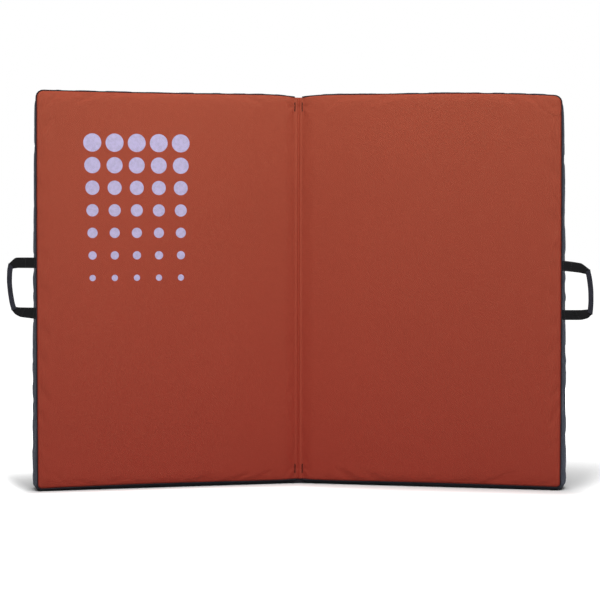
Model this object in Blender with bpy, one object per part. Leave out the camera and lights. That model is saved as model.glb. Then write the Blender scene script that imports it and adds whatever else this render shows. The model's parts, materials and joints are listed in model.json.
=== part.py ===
"""A folding bouldering crash pad, stood open on its lower edge like a book.

Each half is built in its own frame: u runs outward from the fold, v from the
landing side to the base side, and w up from the ground. The fold axis is the
line u = 0, v = 0. The left half is the same shape with u turned to -X.
"""
import math

import bmesh
import bpy
import numpy as np
from mathutils import Vector

# The pad. Lengths are in metres.
HALF_WIDTH = 0.600            # fold axis to the outer seams
PAD_HEIGHT = 0.889            # ground to the upper seams
SEAM_RISE = 0.007             # ground to the lower seams
SEAM_DEPTH = 0.086            # front seams to rear seams
AXIS_AHEAD = 0.007            # fold axis in front of the front seams
FOLD_CLEARANCE = 0.003        # each inner wall to the middle when the pad lies flat
REST_TURN = math.radians(15)  # each half from flat towards closed
CORNER_RADIUS = 0.016
FOLD_CORNER_RADIUS = 0.006
SEAT_GAP = 0.0003             # between pieces that rest on each other

# The cushion form of each half
LANDING_CROWN = 0.004
BASE_CROWN = 0.002
BOXING_BULGE = 0.0035
GROUND_SAG = 0.016            # how far the lower boxing would hang if the ground were not there
SIDE_DRAW = 0.0025            # how far the long seams pull in between the corners
FOLD_DIP_TOP = 0.006          # how far the upper seam sinks where it meets the fold
FOLD_DIP_FOOT = 0.0025
FOLD_DIP_REACH = 0.10
COVER_CLOTH = 0.0012
BINDING_RADIUS = 0.002
IMPACT_FOAM = 0.010
FOAM_EDGE = 0.004             # rounding on the foam's edges
FOAM_EASE = 0.001             # room between the core foam and the side boxing
PANEL_SLACK = 0.003           # how deep the spare cloth lies in the fold

# Rings of the crowned faces, as shares of the way from the middle to the seam
LANDING_RING_SHARES = (1.0, 0.985, 0.95, 0.84, 0.55)
BASE_RING_SHARES = (1.0, 0.97, 0.93, 0.88)
CROWN_POWER = 8
BULGE_POWER = 2.5
SAG_POWER = 6
BOXING_RING_SHARES = (0.0, 0.08, 0.3, 0.7, 0.92, 1.0)
FOAM_REAR_SHARE = 0.85
EDGE_SHARES = (0.04, 0.09, 0.16, 0.4, 0.7)
OUTER_SHARES = (0.16, 0.38, 0.62, 0.84)
INNER_SHARES = (0.33, 0.67)
GRIP_SHARES = (0.25, 0.5, 0.75)
CORNER_STEPS = 4
PANEL_ROWS = 5
PANEL_COLUMNS = 9

# Sections of bands and their bends
GRIP_ROUNDING_SHARE = 0.5
STRAP_ROUNDING_SHARE = 0.7
LEAST_MITRE_SHARE = 0.5
LOOP_RISE_SHARE = 0.18        # of a standing loop's free length
NOSE_ANGLES = tuple(math.radians(degrees) for degrees in (75, 40))
SMOOTH_ANGLE = math.radians(35)

# Webbing
WEBBING_WIDTH = 0.025
WEBBING = 0.0018
BELT_WIDTH = 0.038
TURN_STEPS = 6                # faces round a bar

# Carry handles
HANDLE_HEIGHT = 0.134
HANDLE_ABOVE_MIDDLE = 0.0045
HANDLE_REACH = 0.071          # outer seam to the outside of the grip
HANDLE_LEG = 0.0022
GRIP_WIDTH = 0.012
GRIP_THICKNESS = 0.005
GRIP_BOW = 0.002
GRIP_FOLD = 0.003             # webbing taken up where the leg turns into the grip
MITRE_ALONG = 0.016
MITRE_DOWN = 0.0145

# Foam-access zips
ZIP_FROM_FOLD = 0.070
ZIP_LOW = 0.12
ZIP_LENGTH = 0.62
ZIP_TAPE_WIDTH = 0.030
ZIP_TAPE = 0.0010
COIL_WIDTH = 0.006
COIL_HEIGHT = 0.0020
SLIDER_WIDTH = 0.0110
SLIDER_LENGTH = 0.0150
SLIDER_HEIGHT = 0.0050
SLIDER_TAPER_SHARE = 0.7
SLIDER_CLEARANCE = 0.0005
BRIDGE_HEIGHT = 0.0055
BRIDGE_WALL = 0.0016
BRIDGE_LENGTH = 0.0090
BRIDGE_WIDTH = 0.0030
PULL_WIDTH = 0.0090
PULL_LENGTH = 0.036
PULL_THICKNESS = 0.0016
PULL_EYE = 0.0060

# Harness, placed on the base of the left half
YOKE_WIDTH = 0.240
YOKE_HEIGHT = 0.060
YOKE_DROP = 0.189             # upper seam to the yoke's lower edge
PATCH = 0.0015                # sewn patches
HAUL_SPAN = 0.130
HAUL_REACH = 0.030
HAUL_FOOT = 0.022
STRAP_TOP_OFFSET = 0.062      # shoulder straps from the harness's middle
STRAP_FOOT_OFFSET = 0.085
STRAP_SWEEP = 0.022
STRAP_LENGTH = 0.430
STRAP_WIDTH = 0.070
STRAP_FOOT_WIDTH = 0.040
STRAP_PADDING = 0.012
STRAP_END = 0.004
STRAP_BOW = 0.036             # stand-off of the strap's two straight runs where they would meet
STRAP_PEAK_SHARE = 0.12       # of the strap's length, rounded between the two runs
STRAP_FOOT_LIFT = 0.006
STRAP_STEPS = 18
BACKMOST_SHARE = 0.5          # where the strap stands furthest out
STRAP_SWELL_RATE = 3          # how soon the padding reaches its full thickness
TAPER_FROM_SHARE = 0.6
TAPER_POWER = 1.5
NORMAL_STEP_SHARE = 0.25      # of one step along the strap
TAB_LAP = 0.060               # webbing tab along the strap's outer side
TAB_DROP = 0.012              # strap's foot to the ladder lock
TAB_STEPS = 6
LOCK_WIDTH = 0.034
LOCK_BAR = 0.0040
LOCK_WINDOW = 0.0056
LOCK_FOOT_BAR = 0.0080
LOCK_THICKNESS = 0.0040
LOCK_EDGE = 0.0008
ADJUSTER_TAIL = 0.130
ANCHOR_WIDTH = 0.050
ANCHOR_NECK = 0.030
ANCHOR_HEIGHT = 0.045
ANCHOR_TOP = 0.125

# Waist belt, on the same base
BELT_OFFSET = 0.185
BELT_TOP = 0.345
BELT_DROP = 0.205             # belt's seam to the buckle's bar
BELT_ANCHOR_WIDTH = 0.050
BELT_ANCHOR_HEIGHT = 0.050
BELT_FLAT = 0.068             # part of the belt that lies on the base
BELT_FOLD_BACK = 0.045
BUCKLE_WIDTH = 0.048
BUCKLE_THICKNESS = 0.012
BUCKLE_BAR = 0.0050
BUCKLE_WINDOW = 0.0064
BUCKLE_EDGE = 0.0015
SOCKET_LENGTH = 0.052
MOUTH_WIDTH = 0.036
MOUTH_HEIGHT = 0.0072
MOUTH_DEPTH = 0.032
SIDE_WINDOW = 0.014
PLUG_BASE = 0.022
PLUG_THICKNESS = 0.0050
PRONG_LENGTH = 0.026
PRONG_WIDTH = 0.0050
BARB = 0.0030
BARB_HEIGHT = 0.0090
TONGUE_WIDTH = 0.0080

# Closures
CLOSURE_HEIGHT_SHARES = (0.81, 0.405)
CLOSURE_FROM_SEAM = 0.065
CLOSURE_PATCH_LENGTH = 0.065
CLOSURE_DROP = 0.240
CLOSURE_FOLD_BACK = 0.050
HOOK_WIDTH = 0.048
HOOK_PLATE = 0.0025
HOOK_FLAT = 0.034
HOOK_RADIUS = 0.0060
HOOK_TONGUE = 0.016
HOOK_BAR = 0.0050
HOOK_WINDOW = 0.0064
KEEPER_WALL = 0.0012
KEEPER_HEIGHT = 0.012
KEEPER_DROP = 0.060
KEEPER_CLEARANCE = 0.0004
LOOP_FROM_SEAM = 0.063
LOOP_SPAN = 0.090
LOOP_FOOT = 0.018
LOOP_REACH = 0.014

CUT_OVERRUN = 0.004
SIDES = {"left": -1, "right": 1}
HARNESS_SIDE = "left"
CLOSURE_SIDE = "right"

COVER_BACK = AXIS_AHEAD + SEAM_DEPTH + BASE_CROWN
BASE_SEAT = COVER_BACK + SEAT_GAP
HANDLE_MIDDLE = PAD_HEIGHT / 2 + HANDLE_ABOVE_MIDDLE
HARNESS_FROM_FOLD = HALF_WIDTH / 2
CLOSURE_FROM_FOLD = HALF_WIDTH - CLOSURE_FROM_SEAM
LOOP_FROM_FOLD = HALF_WIDTH - LOOP_FROM_SEAM
YOKE_LOW = PAD_HEIGHT - YOKE_DROP
CLOSURE_HEIGHTS = tuple(share * PAD_HEIGHT for share in CLOSURE_HEIGHT_SHARES)
HANDLE_AXIS = HALF_WIDTH - SIDE_DRAW + BINDING_RADIUS + SEAT_GAP + HANDLE_LEG / 2


def cleared_scene():
    for item in list(bpy.data.objects):
        bpy.data.objects.remove(item, do_unlink=True)


def linear(red, green, blue):
    """Display values from 0 to 255 as linear ones."""
    shares = np.array((red, green, blue)) / 255
    return tuple(np.where(shares <= 0.04045, shares / 12.92, ((shares + 0.055) / 1.055) ** 2.4))


def finish(name, colour, roughness, metallic=0.0):
    material = bpy.data.materials.get(name)
    if material is None:
        material = bpy.data.materials.new(name)
        material.use_nodes = True
        shader = material.node_tree.nodes["Principled BSDF"]
        shader.inputs["Base Color"].default_value = (*linear(*colour), 1)
        shader.inputs["Roughness"].default_value = roughness
        shader.inputs["Metallic"].default_value = metallic
    return material


def landing_cloth():
    return finish("landing_cloth", (158, 72, 54), 0.85)


def boxing_cloth():
    return finish("boxing_cloth", (70, 75, 88), 0.9)


def base_cloth():
    return finish("base_cloth", (52, 55, 64), 0.9)


def binding_tape():
    return finish("binding_tape", (34, 30, 34), 0.85)


def closed_cell_foam():
    return finish("closed_cell_foam", (60, 62, 66), 0.8)


def open_cell_foam():
    return finish("open_cell_foam", (196, 190, 150), 0.95)


def black_webbing():
    return finish("black_webbing", (30, 30, 31), 0.8)


def strap_padding():
    return finish("strap_padding", (58, 61, 70), 0.9)


def buckle_plastic():
    return finish("buckle_plastic", (24, 24, 25), 0.45)


def hook_steel():
    return finish("hook_steel", (120, 122, 126), 0.35, 1.0)


def zip_coil():
    return finish("zip_coil", (28, 28, 29), 0.6)


def empty(name, parent=None, place=(0, 0, 0), turn=0.0):
    axis = bpy.data.objects.new(name, None)
    axis.location = place
    axis.rotation_euler.z = turn
    axis.parent = parent
    bpy.context.collection.objects.link(axis)
    return axis


def mesh_object(name, mesh_builder, material, parent, smooth=True):
    """An object from a bmesh. Its points are in the half's frame, and its parent may be a pivot in it."""
    mesh = bpy.data.meshes.new(name)
    mesh_builder.to_mesh(mesh)
    mesh_builder.free()
    if smooth:
        mesh.shade_smooth()
        mesh.set_sharp_from_angle(angle=SMOOTH_ANGLE)
    item = bpy.data.objects.new(name, mesh)
    item.data.materials.append(material)
    bpy.context.collection.objects.link(item)
    item.parent = parent
    if parent is not None and parent.name.endswith("_pivot"):
        item.location = -parent.location
    return item


def stretched(mesh_builder, side):
    """Turns u towards X on either side and keeps the faces pointing outward on a closed shape."""
    for point in mesh_builder.verts:
        point.co.x *= side
    mesh_builder.normal_update()
    bmesh.ops.recalc_face_normals(mesh_builder, faces=mesh_builder.faces)
    return mesh_builder


def skin(rings, first_pole=None, last_pole=None):
    """Faces between rings of equally many points, with a fan to a pole at either end."""
    built = bmesh.new()
    rows = [[built.verts.new(point) for point in ring] for ring in rings]
    count = len(rows[0])
    for near, far in zip(rows, rows[1:]):
        for i in range(count):
            j = (i + 1) % count
            built.faces.new((near[i], near[j], far[j], far[i]))
    for row, pole in ((rows[0], first_pole), (rows[-1], last_pole)):
        if pole is None:
            continue
        middle = built.verts.new(pole)
        for i in range(count):
            built.faces.new((row[i], row[(i + 1) % count], middle))
    return built


def prism(points, low, high, axis):
    """A flat outline, given in the two other axes in order, drawn out along one axis."""
    built = bmesh.new()
    ends = []
    for level in (low, high):
        places = [np.insert(np.array(point, float), axis, level) for point in points]
        ends.append([built.verts.new(place) for place in places])
    built.faces.new(ends[0])
    built.faces.new(ends[1])
    for i in range(len(points)):
        j = (i + 1) % len(points)
        built.faces.new((ends[0][i], ends[0][j], ends[1][j], ends[1][i]))
    return built


def block(low, high):
    built = bmesh.new()
    bmesh.ops.create_cube(built, size=1)
    low, high = Vector(low), Vector(high)
    for point in built.verts:
        shares = point.co + Vector((0.5, 0.5, 0.5))
        point.co = low + Vector(a * b for a, b in zip(shares, high - low))
    return built


def rounded_edges(item, width, segments=2):
    edge = item.modifiers.new("Rounded edges", "BEVEL")
    edge.width = width
    edge.segments = segments
    edge.limit_method = "ANGLE"
    edge.use_clamp_overlap = True


def cut(item, name, mesh_builder, side):
    """Takes a hidden cutter's shape out of an object."""
    cutter = mesh_object(name, stretched(mesh_builder, side), item.data.materials[0], item.parent)
    cutter.hide_render = True
    cutter.display_type = "WIRE"
    boolean = item.modifiers.new(name, "BOOLEAN")
    boolean.operation = "DIFFERENCE"
    boolean.object = cutter


def joined_to(item, name, mesh_builder, side):
    """Adds a hidden helper's shape to an object."""
    helper = mesh_object(name, stretched(mesh_builder, side), item.data.materials[0], item.parent)
    helper.hide_render = True
    helper.display_type = "WIRE"
    boolean = item.modifiers.new(name, "BOOLEAN")
    boolean.operation = "UNION"
    boolean.object = helper


def arc(centre, radius, start, end, steps):
    angles = np.radians(np.linspace(start, end, steps + 1))
    return [(centre[0] + radius * math.cos(a), centre[1] + radius * math.sin(a)) for a in angles]


def between(start, end, shares):
    start, end = np.array(start), np.array(end)
    return [tuple(start + share * (end - start)) for share in shares]


def outline(grow=0.0, inner=0.0, lower=0.0, ground=None):
    """The seam line round one half, as (u, w) rows, moved outward by the lengths given.

    It starts at the lower corner by the fold and goes round by the ground. Between the
    corners it draws in, and near the fold it dips, as the seams of a filled pad do.
    """
    left, right = FOLD_CLEARANCE - inner, HALF_WIDTH + grow
    low, high = SEAM_RISE - lower, PAD_HEIGHT + grow
    near, far = FOLD_CORNER_RADIUS, CORNER_RADIUS
    corners = (
        arc((left + near, low + near), near, 180, 270, CORNER_STEPS),
        arc((right - far, low + far), far, 270, 360, CORNER_STEPS),
        arc((right - far, high - far), far, 0, 90, CORNER_STEPS),
        arc((left + near, high - near), near, 90, 180, CORNER_STEPS),
    )
    top_shares = tuple(1 - share for share in reversed(EDGE_SHARES))
    sides = (EDGE_SHARES, OUTER_SHARES, top_shares, INNER_SHARES)
    points = []
    for i, (corner, shares) in enumerate(zip(corners, sides)):
        points += corner
        points += between(corner[-1], corners[(i + 1) % len(corners)][0], shares)
    u, w = np.array(points).T
    across = (2 * u - left - right) / (right - left)
    upward = (2 * w - low - high) / (high - low)
    dip = np.clip(1 - u / FOLD_DIP_REACH, 0, 1) ** 2
    draw = SIDE_DRAW * (1 - across**2)
    fall = np.clip(upward, 0, 1) ** 3 * (draw + FOLD_DIP_TOP * dip)
    rise = np.clip(-upward, 0, 1) ** 3 * (draw + FOLD_DIP_FOOT * dip)
    u = u - np.clip(across, 0, 1) ** 3 * SIDE_DRAW * (1 - upward**2)
    w = w - fall + rise
    if ground is not None:
        w = np.maximum(w, ground)
    return np.stack((u, w), axis=1)


BOUND_POINTS = 4 * (CORNER_STEPS + 1) + 2 * len(EDGE_SHARES) + len(OUTER_SHARES)


def middle_of(flat):
    return (flat.max(axis=0) + flat.min(axis=0)) / 2


def at_depth(flat, depth):
    """Rows of (u, w) as points in the half's frame, at one depth or a depth for each."""
    return np.insert(flat, 1, depth, axis=1)


def landing_rise(share):
    return LANDING_CROWN * (1 - share**CROWN_POWER)


def base_rise(share):
    flat_share = BASE_RING_SHARES[-1]
    if share <= flat_share:
        return BASE_CROWN
    return BASE_CROWN * (1 - ((share - flat_share) / (1 - flat_share)) ** 2)


def cover_edge():
    """Edge of a cover, just inside the seam binding."""
    inset = BINDING_RADIUS + SEAT_GAP
    return outline(grow=-inset, inner=-inset, lower=-inset)


def face_rings(edge, ring_shares, depth, rise):
    """Rings from a seam towards the middle of a crowned face."""
    middle = middle_of(edge)
    return [at_depth(middle + share * (edge - middle), depth + rise(share)) for share in ring_shares]


def thickened(item, thickness):
    """Gives a sheet whose faces point outward its thickness on the inside."""
    wall = item.modifiers.new("Cloth", "SOLIDIFY")
    wall.thickness = thickness
    wall.offset = -1
    wall.use_even_offset = True


def facing(built, direction, side):
    """Mirrors an open sheet to its side and turns it to face a direction."""
    for point in built.verts:
        point.co.x *= side
    built.normal_update()
    if sum(direction(face) for face in built.faces) < 0:
        bmesh.ops.reverse_faces(built, faces=built.faces)
    return built


def landing_cover(half, side):
    edge = cover_edge()
    rings = face_rings(edge, LANDING_RING_SHARES, AXIS_AHEAD, lambda share: -landing_rise(share))
    u, w = middle_of(edge)
    built = skin(rings, last_pole=(u, AXIS_AHEAD - landing_rise(0), w))
    facing(built, lambda face: -face.normal.y, side)
    cover = mesh_object(half.name[:-6] + "_landing_cover", built, landing_cloth(), half)
    thickened(cover, COVER_CLOTH)


def base_cover(half, side):
    edge = cover_edge()
    rings = face_rings(edge, BASE_RING_SHARES, AXIS_AHEAD + SEAM_DEPTH, base_rise)
    u, w = middle_of(edge)
    built = skin(rings, last_pole=(u, COVER_BACK, w))
    facing(built, lambda face: face.normal.y, side)
    cover = mesh_object(half.name[:-6] + "_base_cover", built, base_cloth(), half)
    thickened(cover, COVER_CLOTH)


def boxing_depth(share):
    start = AXIS_AHEAD + BINDING_RADIUS + SEAT_GAP
    return start + share * (SEAM_DEPTH - 2 * (BINDING_RADIUS + SEAT_GAP))


def boxing_swell(share, power):
    return 1 - abs(2 * share - 1) ** power


def boxing_ring(share, inset=0.0, side_inset=0.0, ground=0.0):
    """The boxing's line at a share of its depth, bulged at the sides and flat on the ground."""
    bulge = BOXING_BULGE * boxing_swell(share, BULGE_POWER)
    sag = GROUND_SAG * boxing_swell(share, SAG_POWER)
    return outline(bulge - inset - side_inset, -inset, sag - inset, ground)


def boxing(half, side):
    rings = [at_depth(boxing_ring(share), boxing_depth(share)) for share in BOXING_RING_SHARES]
    built = skin(rings)
    centre = Vector((side * HALF_WIDTH / 2, AXIS_AHEAD + SEAM_DEPTH / 2, PAD_HEIGHT / 2))
    facing(built, lambda face: face.normal.dot(face.calc_center_median() - centre), side)
    band = mesh_object(half.name[:-6] + "_boxing", built, boxing_cloth(), half)
    thickened(band, COVER_CLOTH)


def binding(half, side, name, flat, depth, cyclic):
    """Round binding along a seam."""
    curve = bpy.data.curves.new(name, "CURVE")
    curve.dimensions = "3D"
    curve.bevel_depth = BINDING_RADIUS
    curve.bevel_resolution = 1
    curve.use_fill_caps = not cyclic
    run = curve.splines.new("POLY")
    run.points.add(len(flat) - 1)
    for point, (u, w) in zip(run.points, flat):
        point.co = (side * u, depth, w, 1)
    run.use_cyclic_u = cyclic
    curve.materials.append(binding_tape())
    item = bpy.data.objects.new(name, curve)
    item.parent = half
    bpy.context.collection.objects.link(item)


def front_binding(half, side):
    seam = outline()[:BOUND_POINTS]
    binding(half, side, half.name[:-6] + "_front_binding", seam, AXIS_AHEAD, False)


def rear_binding(half, side):
    seam = outline()
    binding(half, side, half.name[:-6] + "_rear_binding", seam, AXIS_AHEAD + SEAM_DEPTH, True)


def impact_foam(half, side):
    inset = COVER_CLOTH + SEAT_GAP
    front = AXIS_AHEAD + inset
    edge = cover_edge()
    rings = face_rings(edge, LANDING_RING_SHARES[:0:-1], front, lambda share: -landing_rise(share))
    flat = outline(-inset, -inset, -inset)
    rings.append(at_depth(flat, front + FOAM_EDGE))
    rings.append(at_depth(flat, front + IMPACT_FOAM))
    u, w = middle_of(edge)
    first, last = (u, front - landing_rise(0), w), (u, front + IMPACT_FOAM, w)
    built = stretched(skin(rings, first, last), side)
    mesh_object(half.name[:-6] + "_impact_foam", built, closed_cell_foam(), half)


def core_foam(half, side):
    inset = COVER_CLOTH + SEAT_GAP
    front = AXIS_AHEAD + inset + IMPACT_FOAM + SEAT_GAP
    back = AXIS_AHEAD + SEAM_DEPTH - inset
    front_share = (front - boxing_depth(0)) / (boxing_depth(1) - boxing_depth(0))
    depth_shares = (front_share, *BOXING_RING_SHARES[2:-2], FOAM_REAR_SHARE)
    rings = []
    for share, depth_share in zip(BOXING_RING_SHARES[1:], depth_shares):
        ring = boxing_ring(share, inset, FOAM_EASE, inset)
        rings.append(at_depth(ring, boxing_depth(depth_share)))
    rings += face_rings(cover_edge(), BASE_RING_SHARES[1:], back, base_rise)
    u, w = middle_of(cover_edge())
    built = stretched(skin(rings, (u, front, w), (u, back + BASE_CROWN, w)), side)
    mesh_object(half.name[:-6] + "_core_foam", built, open_cell_foam(), half)


def turned(point, turn):
    """A (u, v) pair in the frame of the fold, for a half turned towards closed."""
    u, v = point
    return (u * math.cos(turn) + v * math.sin(turn), v * math.cos(turn) - u * math.sin(turn))


def hinge_panel(axis):
    """The slack strip of landing cloth, lying as a shallow valley in the fold."""
    inset = FOLD_CLEARANCE + BINDING_RADIUS + SEAT_GAP
    edge_x, edge_y = turned((inset, AXIS_AHEAD + COVER_CLOTH / 2), REST_TURN)
    half_span = edge_x - SEAT_GAP - COVER_CLOTH / 2
    low = SEAM_RISE + FOLD_DIP_FOOT + FOLD_CORNER_RADIUS + SEAT_GAP
    high = PAD_HEIGHT - FOLD_DIP_TOP - FOLD_CORNER_RADIUS - SEAT_GAP
    built = bmesh.new()
    rows = []
    for level in np.linspace(low, high, PANEL_ROWS):
        row = []
        for share in np.linspace(-1, 1, PANEL_COLUMNS):
            place = (share * half_span, edge_y + PANEL_SLACK * (1 - share**2), level)
            row.append(built.verts.new(place))
        rows.append(row)
    for near, far in zip(rows, rows[1:]):
        for i in range(len(near) - 1):
            built.faces.new((near[i], near[i + 1], far[i + 1], far[i]))
    facing(built, lambda face: -face.normal.y, 1)
    panel = mesh_object("hinge_panel", built, landing_cloth(), axis)
    thickened(panel, COVER_CLOTH)
    panel.modifiers["Cloth"].offset = 0


def ribbon(stations, rounding_share=0.0):
    """A band through stations, each a centre, half its width and half its thickness as vectors."""
    rings = []
    for centre, across, through in stations:
        centre, across, through = (np.array(v, float) for v in (centre, across, through))
        if rounding_share:
            trim = across / np.linalg.norm(across) * np.linalg.norm(through) * rounding_share
            less = through * (1 - rounding_share)
            corners = (
                across - trim + through, -across + trim + through, -across + less, -across - less,
                -across + trim - through, across - trim - through, across - less, across + less,
            )
        else:
            corners = (across + through, -across + through, -across - through, across - through)
        rings.append([centre + corner for corner in corners])
    built = skin(rings)
    built.faces.new([v for v in built.verts][: len(rings[0])])
    built.verts.ensure_lookup_table()
    built.faces.new(built.verts[-len(rings[0]):])
    return built


def path_stations(path, place, across, thickness):
    """Stations of webbing along a flat path. place turns the path's two numbers into a point."""
    path = np.array(path, float)
    steps = np.diff(path, axis=0)
    steps /= np.linalg.norm(steps, axis=1)[:, None]
    before = np.vstack((steps[:1], steps))
    after = np.vstack((steps, steps[-1:]))
    origin = np.array(place(0, 0))
    stations = []
    for middle, a, b in zip(path, before, after):
        along = (a + b) / np.linalg.norm(a + b)
        scale = thickness / 2 / max(along @ b, LEAST_MITRE_SHARE)
        through = np.array(place(*(np.array((-along[1], along[0])) * scale))) - origin
        stations.append((place(*middle), across, through))
    return stations


def nosed(stations, thickness):
    """Rounds the first end about its own station, so that the band can turn there."""
    (centre, across, through), (following, *_) = stations[0], stations[1]
    back = np.array(centre) - np.array(following)
    back *= thickness / 2 / np.linalg.norm(back)
    nose = []
    for angle in NOSE_ANGLES:
        nose.append((np.array(centre) + back * math.sin(angle), across, np.array(through) * math.cos(angle)))
    return nose + stations


def wrap_radius(bar, thickness):
    """Middle line of webbing that clears the corners of a bar it turns round."""
    return math.hypot(bar, thickness) / 2 + SEAT_GAP + WEBBING / 2


def carry_handle(half, side):
    """Webbing loop in the plane of the landing face, its grip folded to half its width."""
    pivot = empty(half.name[:-6] + "_handle_pivot", half, (side * HANDLE_AXIS, AXIS_AHEAD, HANDLE_MIDDLE))
    top = HANDLE_MIDDLE + HANDLE_HEIGHT / 2
    reach = HALF_WIDTH + HANDLE_REACH
    inner = reach - GRIP_WIDTH
    leg, grip = HANDLE_LEG / 2, GRIP_THICKNESS / 2
    upper = []
    for angle in (*NOSE_ANGLES, 0):
        sewn = HANDLE_AXIS - leg * math.sin(angle)
        upper.append(((sewn, top - WEBBING_WIDTH), (sewn, top), leg * math.cos(angle)))
    upper += [
        ((inner - GRIP_WIDTH / 2, top - WEBBING_WIDTH), (reach - MITRE_ALONG, top), leg),
        ((inner, top - WEBBING_WIDTH - GRIP_FOLD), (reach, top - MITRE_DOWN), grip),
    ]
    lower = [((a, 2 * HANDLE_MIDDLE - b), (c, 2 * HANDLE_MIDDLE - d), e) for (a, b), (c, d), e in upper]
    middle = []
    for share in GRIP_SHARES:
        bow = GRIP_BOW * math.sin(math.pi * share)
        level = top - MITRE_DOWN - share * (HANDLE_HEIGHT - 2 * MITRE_DOWN)
        middle.append(((inner - bow, level), (reach - bow, level), grip))
    stations = []
    for near, far, through in upper + middle + lower[::-1]:
        near, far = np.array(near), np.array(far)
        u, w = (near + far) / 2
        across_u, across_w = (far - near) / 2
        stations.append(((u, AXIS_AHEAD, w), (across_u, 0, across_w), (0, through, 0)))
    built = stretched(ribbon(stations, GRIP_ROUNDING_SHARE), side)
    mesh_object(half.name[:-6] + "_carry_handle", built, black_webbing(), pivot)


def zip_tape(half, side):
    """Tape with the raised coil along its middle."""
    tape, coil = ZIP_TAPE_WIDTH / 2, COIL_WIDTH / 2
    edge, crest = BASE_SEAT + ZIP_TAPE, BASE_SEAT + COIL_HEIGHT
    profile = [
        (-tape, BASE_SEAT), (tape, BASE_SEAT), (tape, edge), (coil, edge),
        (coil, crest), (-coil, crest), (-coil, edge), (-tape, edge),
    ]
    profile = [(ZIP_FROM_FOLD + u, v) for u, v in profile]
    built = stretched(prism(profile, ZIP_LOW, ZIP_LOW + ZIP_LENGTH, 2), side)
    mesh_object(half.name[:-6] + "_zip_tape", built, zip_coil(), half, smooth=False)


def zip_slider(half, side):
    """The slider at the closed, upper end of its zip, with the bridge that holds the pull."""
    name = half.name[:-6]
    middle = ZIP_LOW + ZIP_LENGTH - SLIDER_LENGTH
    low = BASE_SEAT + ZIP_TAPE + SEAT_GAP
    top = low + SLIDER_HEIGHT
    pivot = empty(name + "_slider_pivot", half, (side * ZIP_FROM_FOLD, low, middle))
    half_width, half_length = SLIDER_WIDTH / 2, SLIDER_LENGTH / 2
    body = [
        (ZIP_FROM_FOLD - half_width, middle + half_length),
        (ZIP_FROM_FOLD - half_width * SLIDER_TAPER_SHARE, middle - half_length),
        (ZIP_FROM_FOLD + half_width * SLIDER_TAPER_SHARE, middle - half_length),
        (ZIP_FROM_FOLD + half_width, middle + half_length),
    ]
    built = stretched(prism(body, low, top, 1), side)
    slider = mesh_object(name + "_zip_slider", built, hook_steel(), pivot)
    groove_half = COIL_WIDTH / 2 + SLIDER_CLEARANCE
    groove = block(
        (ZIP_FROM_FOLD - groove_half, low - CUT_OVERRUN, middle - SLIDER_LENGTH),
        (ZIP_FROM_FOLD + groove_half, BASE_SEAT + COIL_HEIGHT + SLIDER_CLEARANCE, middle + SLIDER_LENGTH),
    )
    cut(slider, name + "_slider_groove", groove, side)
    foot, crest = middle - BRIDGE_LENGTH / 2, middle + BRIDGE_LENGTH / 2
    bridge_top = top + BRIDGE_HEIGHT
    arch = [
        (top - BRIDGE_WALL, foot), (bridge_top - BRIDGE_WALL, foot), (bridge_top, foot + BRIDGE_WALL),
        (bridge_top, crest - BRIDGE_WALL), (bridge_top - BRIDGE_WALL, crest), (top - BRIDGE_WALL, crest),
        (top - BRIDGE_WALL, crest - BRIDGE_WALL), (bridge_top - BRIDGE_WALL, crest - BRIDGE_WALL),
        (bridge_top - BRIDGE_WALL, foot + BRIDGE_WALL), (top - BRIDGE_WALL, foot + BRIDGE_WALL),
    ]
    half_bridge = BRIDGE_WIDTH / 2
    bridge = prism(arch, ZIP_FROM_FOLD - half_bridge, ZIP_FROM_FOLD + half_bridge, 0)
    joined_to(slider, name + "_slider_bridge", bridge, side)
    zip_pull(half, side, top, middle)


def zip_pull(half, side, slider_top, middle):
    """The tab that hangs in the slider's bridge."""
    name = half.name[:-6]
    bar = PULL_THICKNESS
    axis_depth = slider_top + (BRIDGE_HEIGHT - BRIDGE_WALL) / 2
    low_inside = middle - BRIDGE_LENGTH / 2 + BRIDGE_WALL
    axis_height = low_inside + SLIDER_CLEARANCE + bar / 2
    pivot = empty(name + "_pull_pivot", half, (side * ZIP_FROM_FOLD, axis_depth, axis_height))
    half_width = PULL_WIDTH / 2
    top = axis_height + bar / 2
    foot = top - PULL_LENGTH
    tab = [
        (ZIP_FROM_FOLD - half_width, top), (ZIP_FROM_FOLD - half_width, foot + half_width),
        (ZIP_FROM_FOLD - half_width / 2, foot), (ZIP_FROM_FOLD + half_width / 2, foot),
        (ZIP_FROM_FOLD + half_width, foot + half_width), (ZIP_FROM_FOLD + half_width, top),
    ]
    built = prism(tab, axis_depth - bar / 2, axis_depth + bar / 2, 1)
    pull = mesh_object(name + "_zip_pull", stretched(built, side), hook_steel(), pivot)
    eye_half = BRIDGE_WIDTH / 2 + SLIDER_CLEARANCE
    eye = block(
        (ZIP_FROM_FOLD - eye_half, axis_depth - CUT_OVERRUN, top - bar - PULL_EYE),
        (ZIP_FROM_FOLD + eye_half, axis_depth + CUT_OVERRUN, top - bar),
    )
    cut(pull, name + "_pull_eye", eye, side)


def patch(name, half, side, points):
    built = stretched(prism(points, BASE_SEAT, BASE_SEAT + PATCH, 1), side)
    mesh_object(name, built, base_cloth(), half, smooth=False)


def rectangle(u, w, width, height):
    return [
        (u - width / 2, w - height / 2), (u + width / 2, w - height / 2),
        (u + width / 2, w + height / 2), (u - width / 2, w + height / 2),
    ]


def shoulder_yoke(half, side):
    points = rectangle(HARNESS_FROM_FOLD, YOKE_LOW + YOKE_HEIGHT / 2, YOKE_WIDTH, YOKE_HEIGHT)
    patch("shoulder_yoke", half, side, points)


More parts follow.
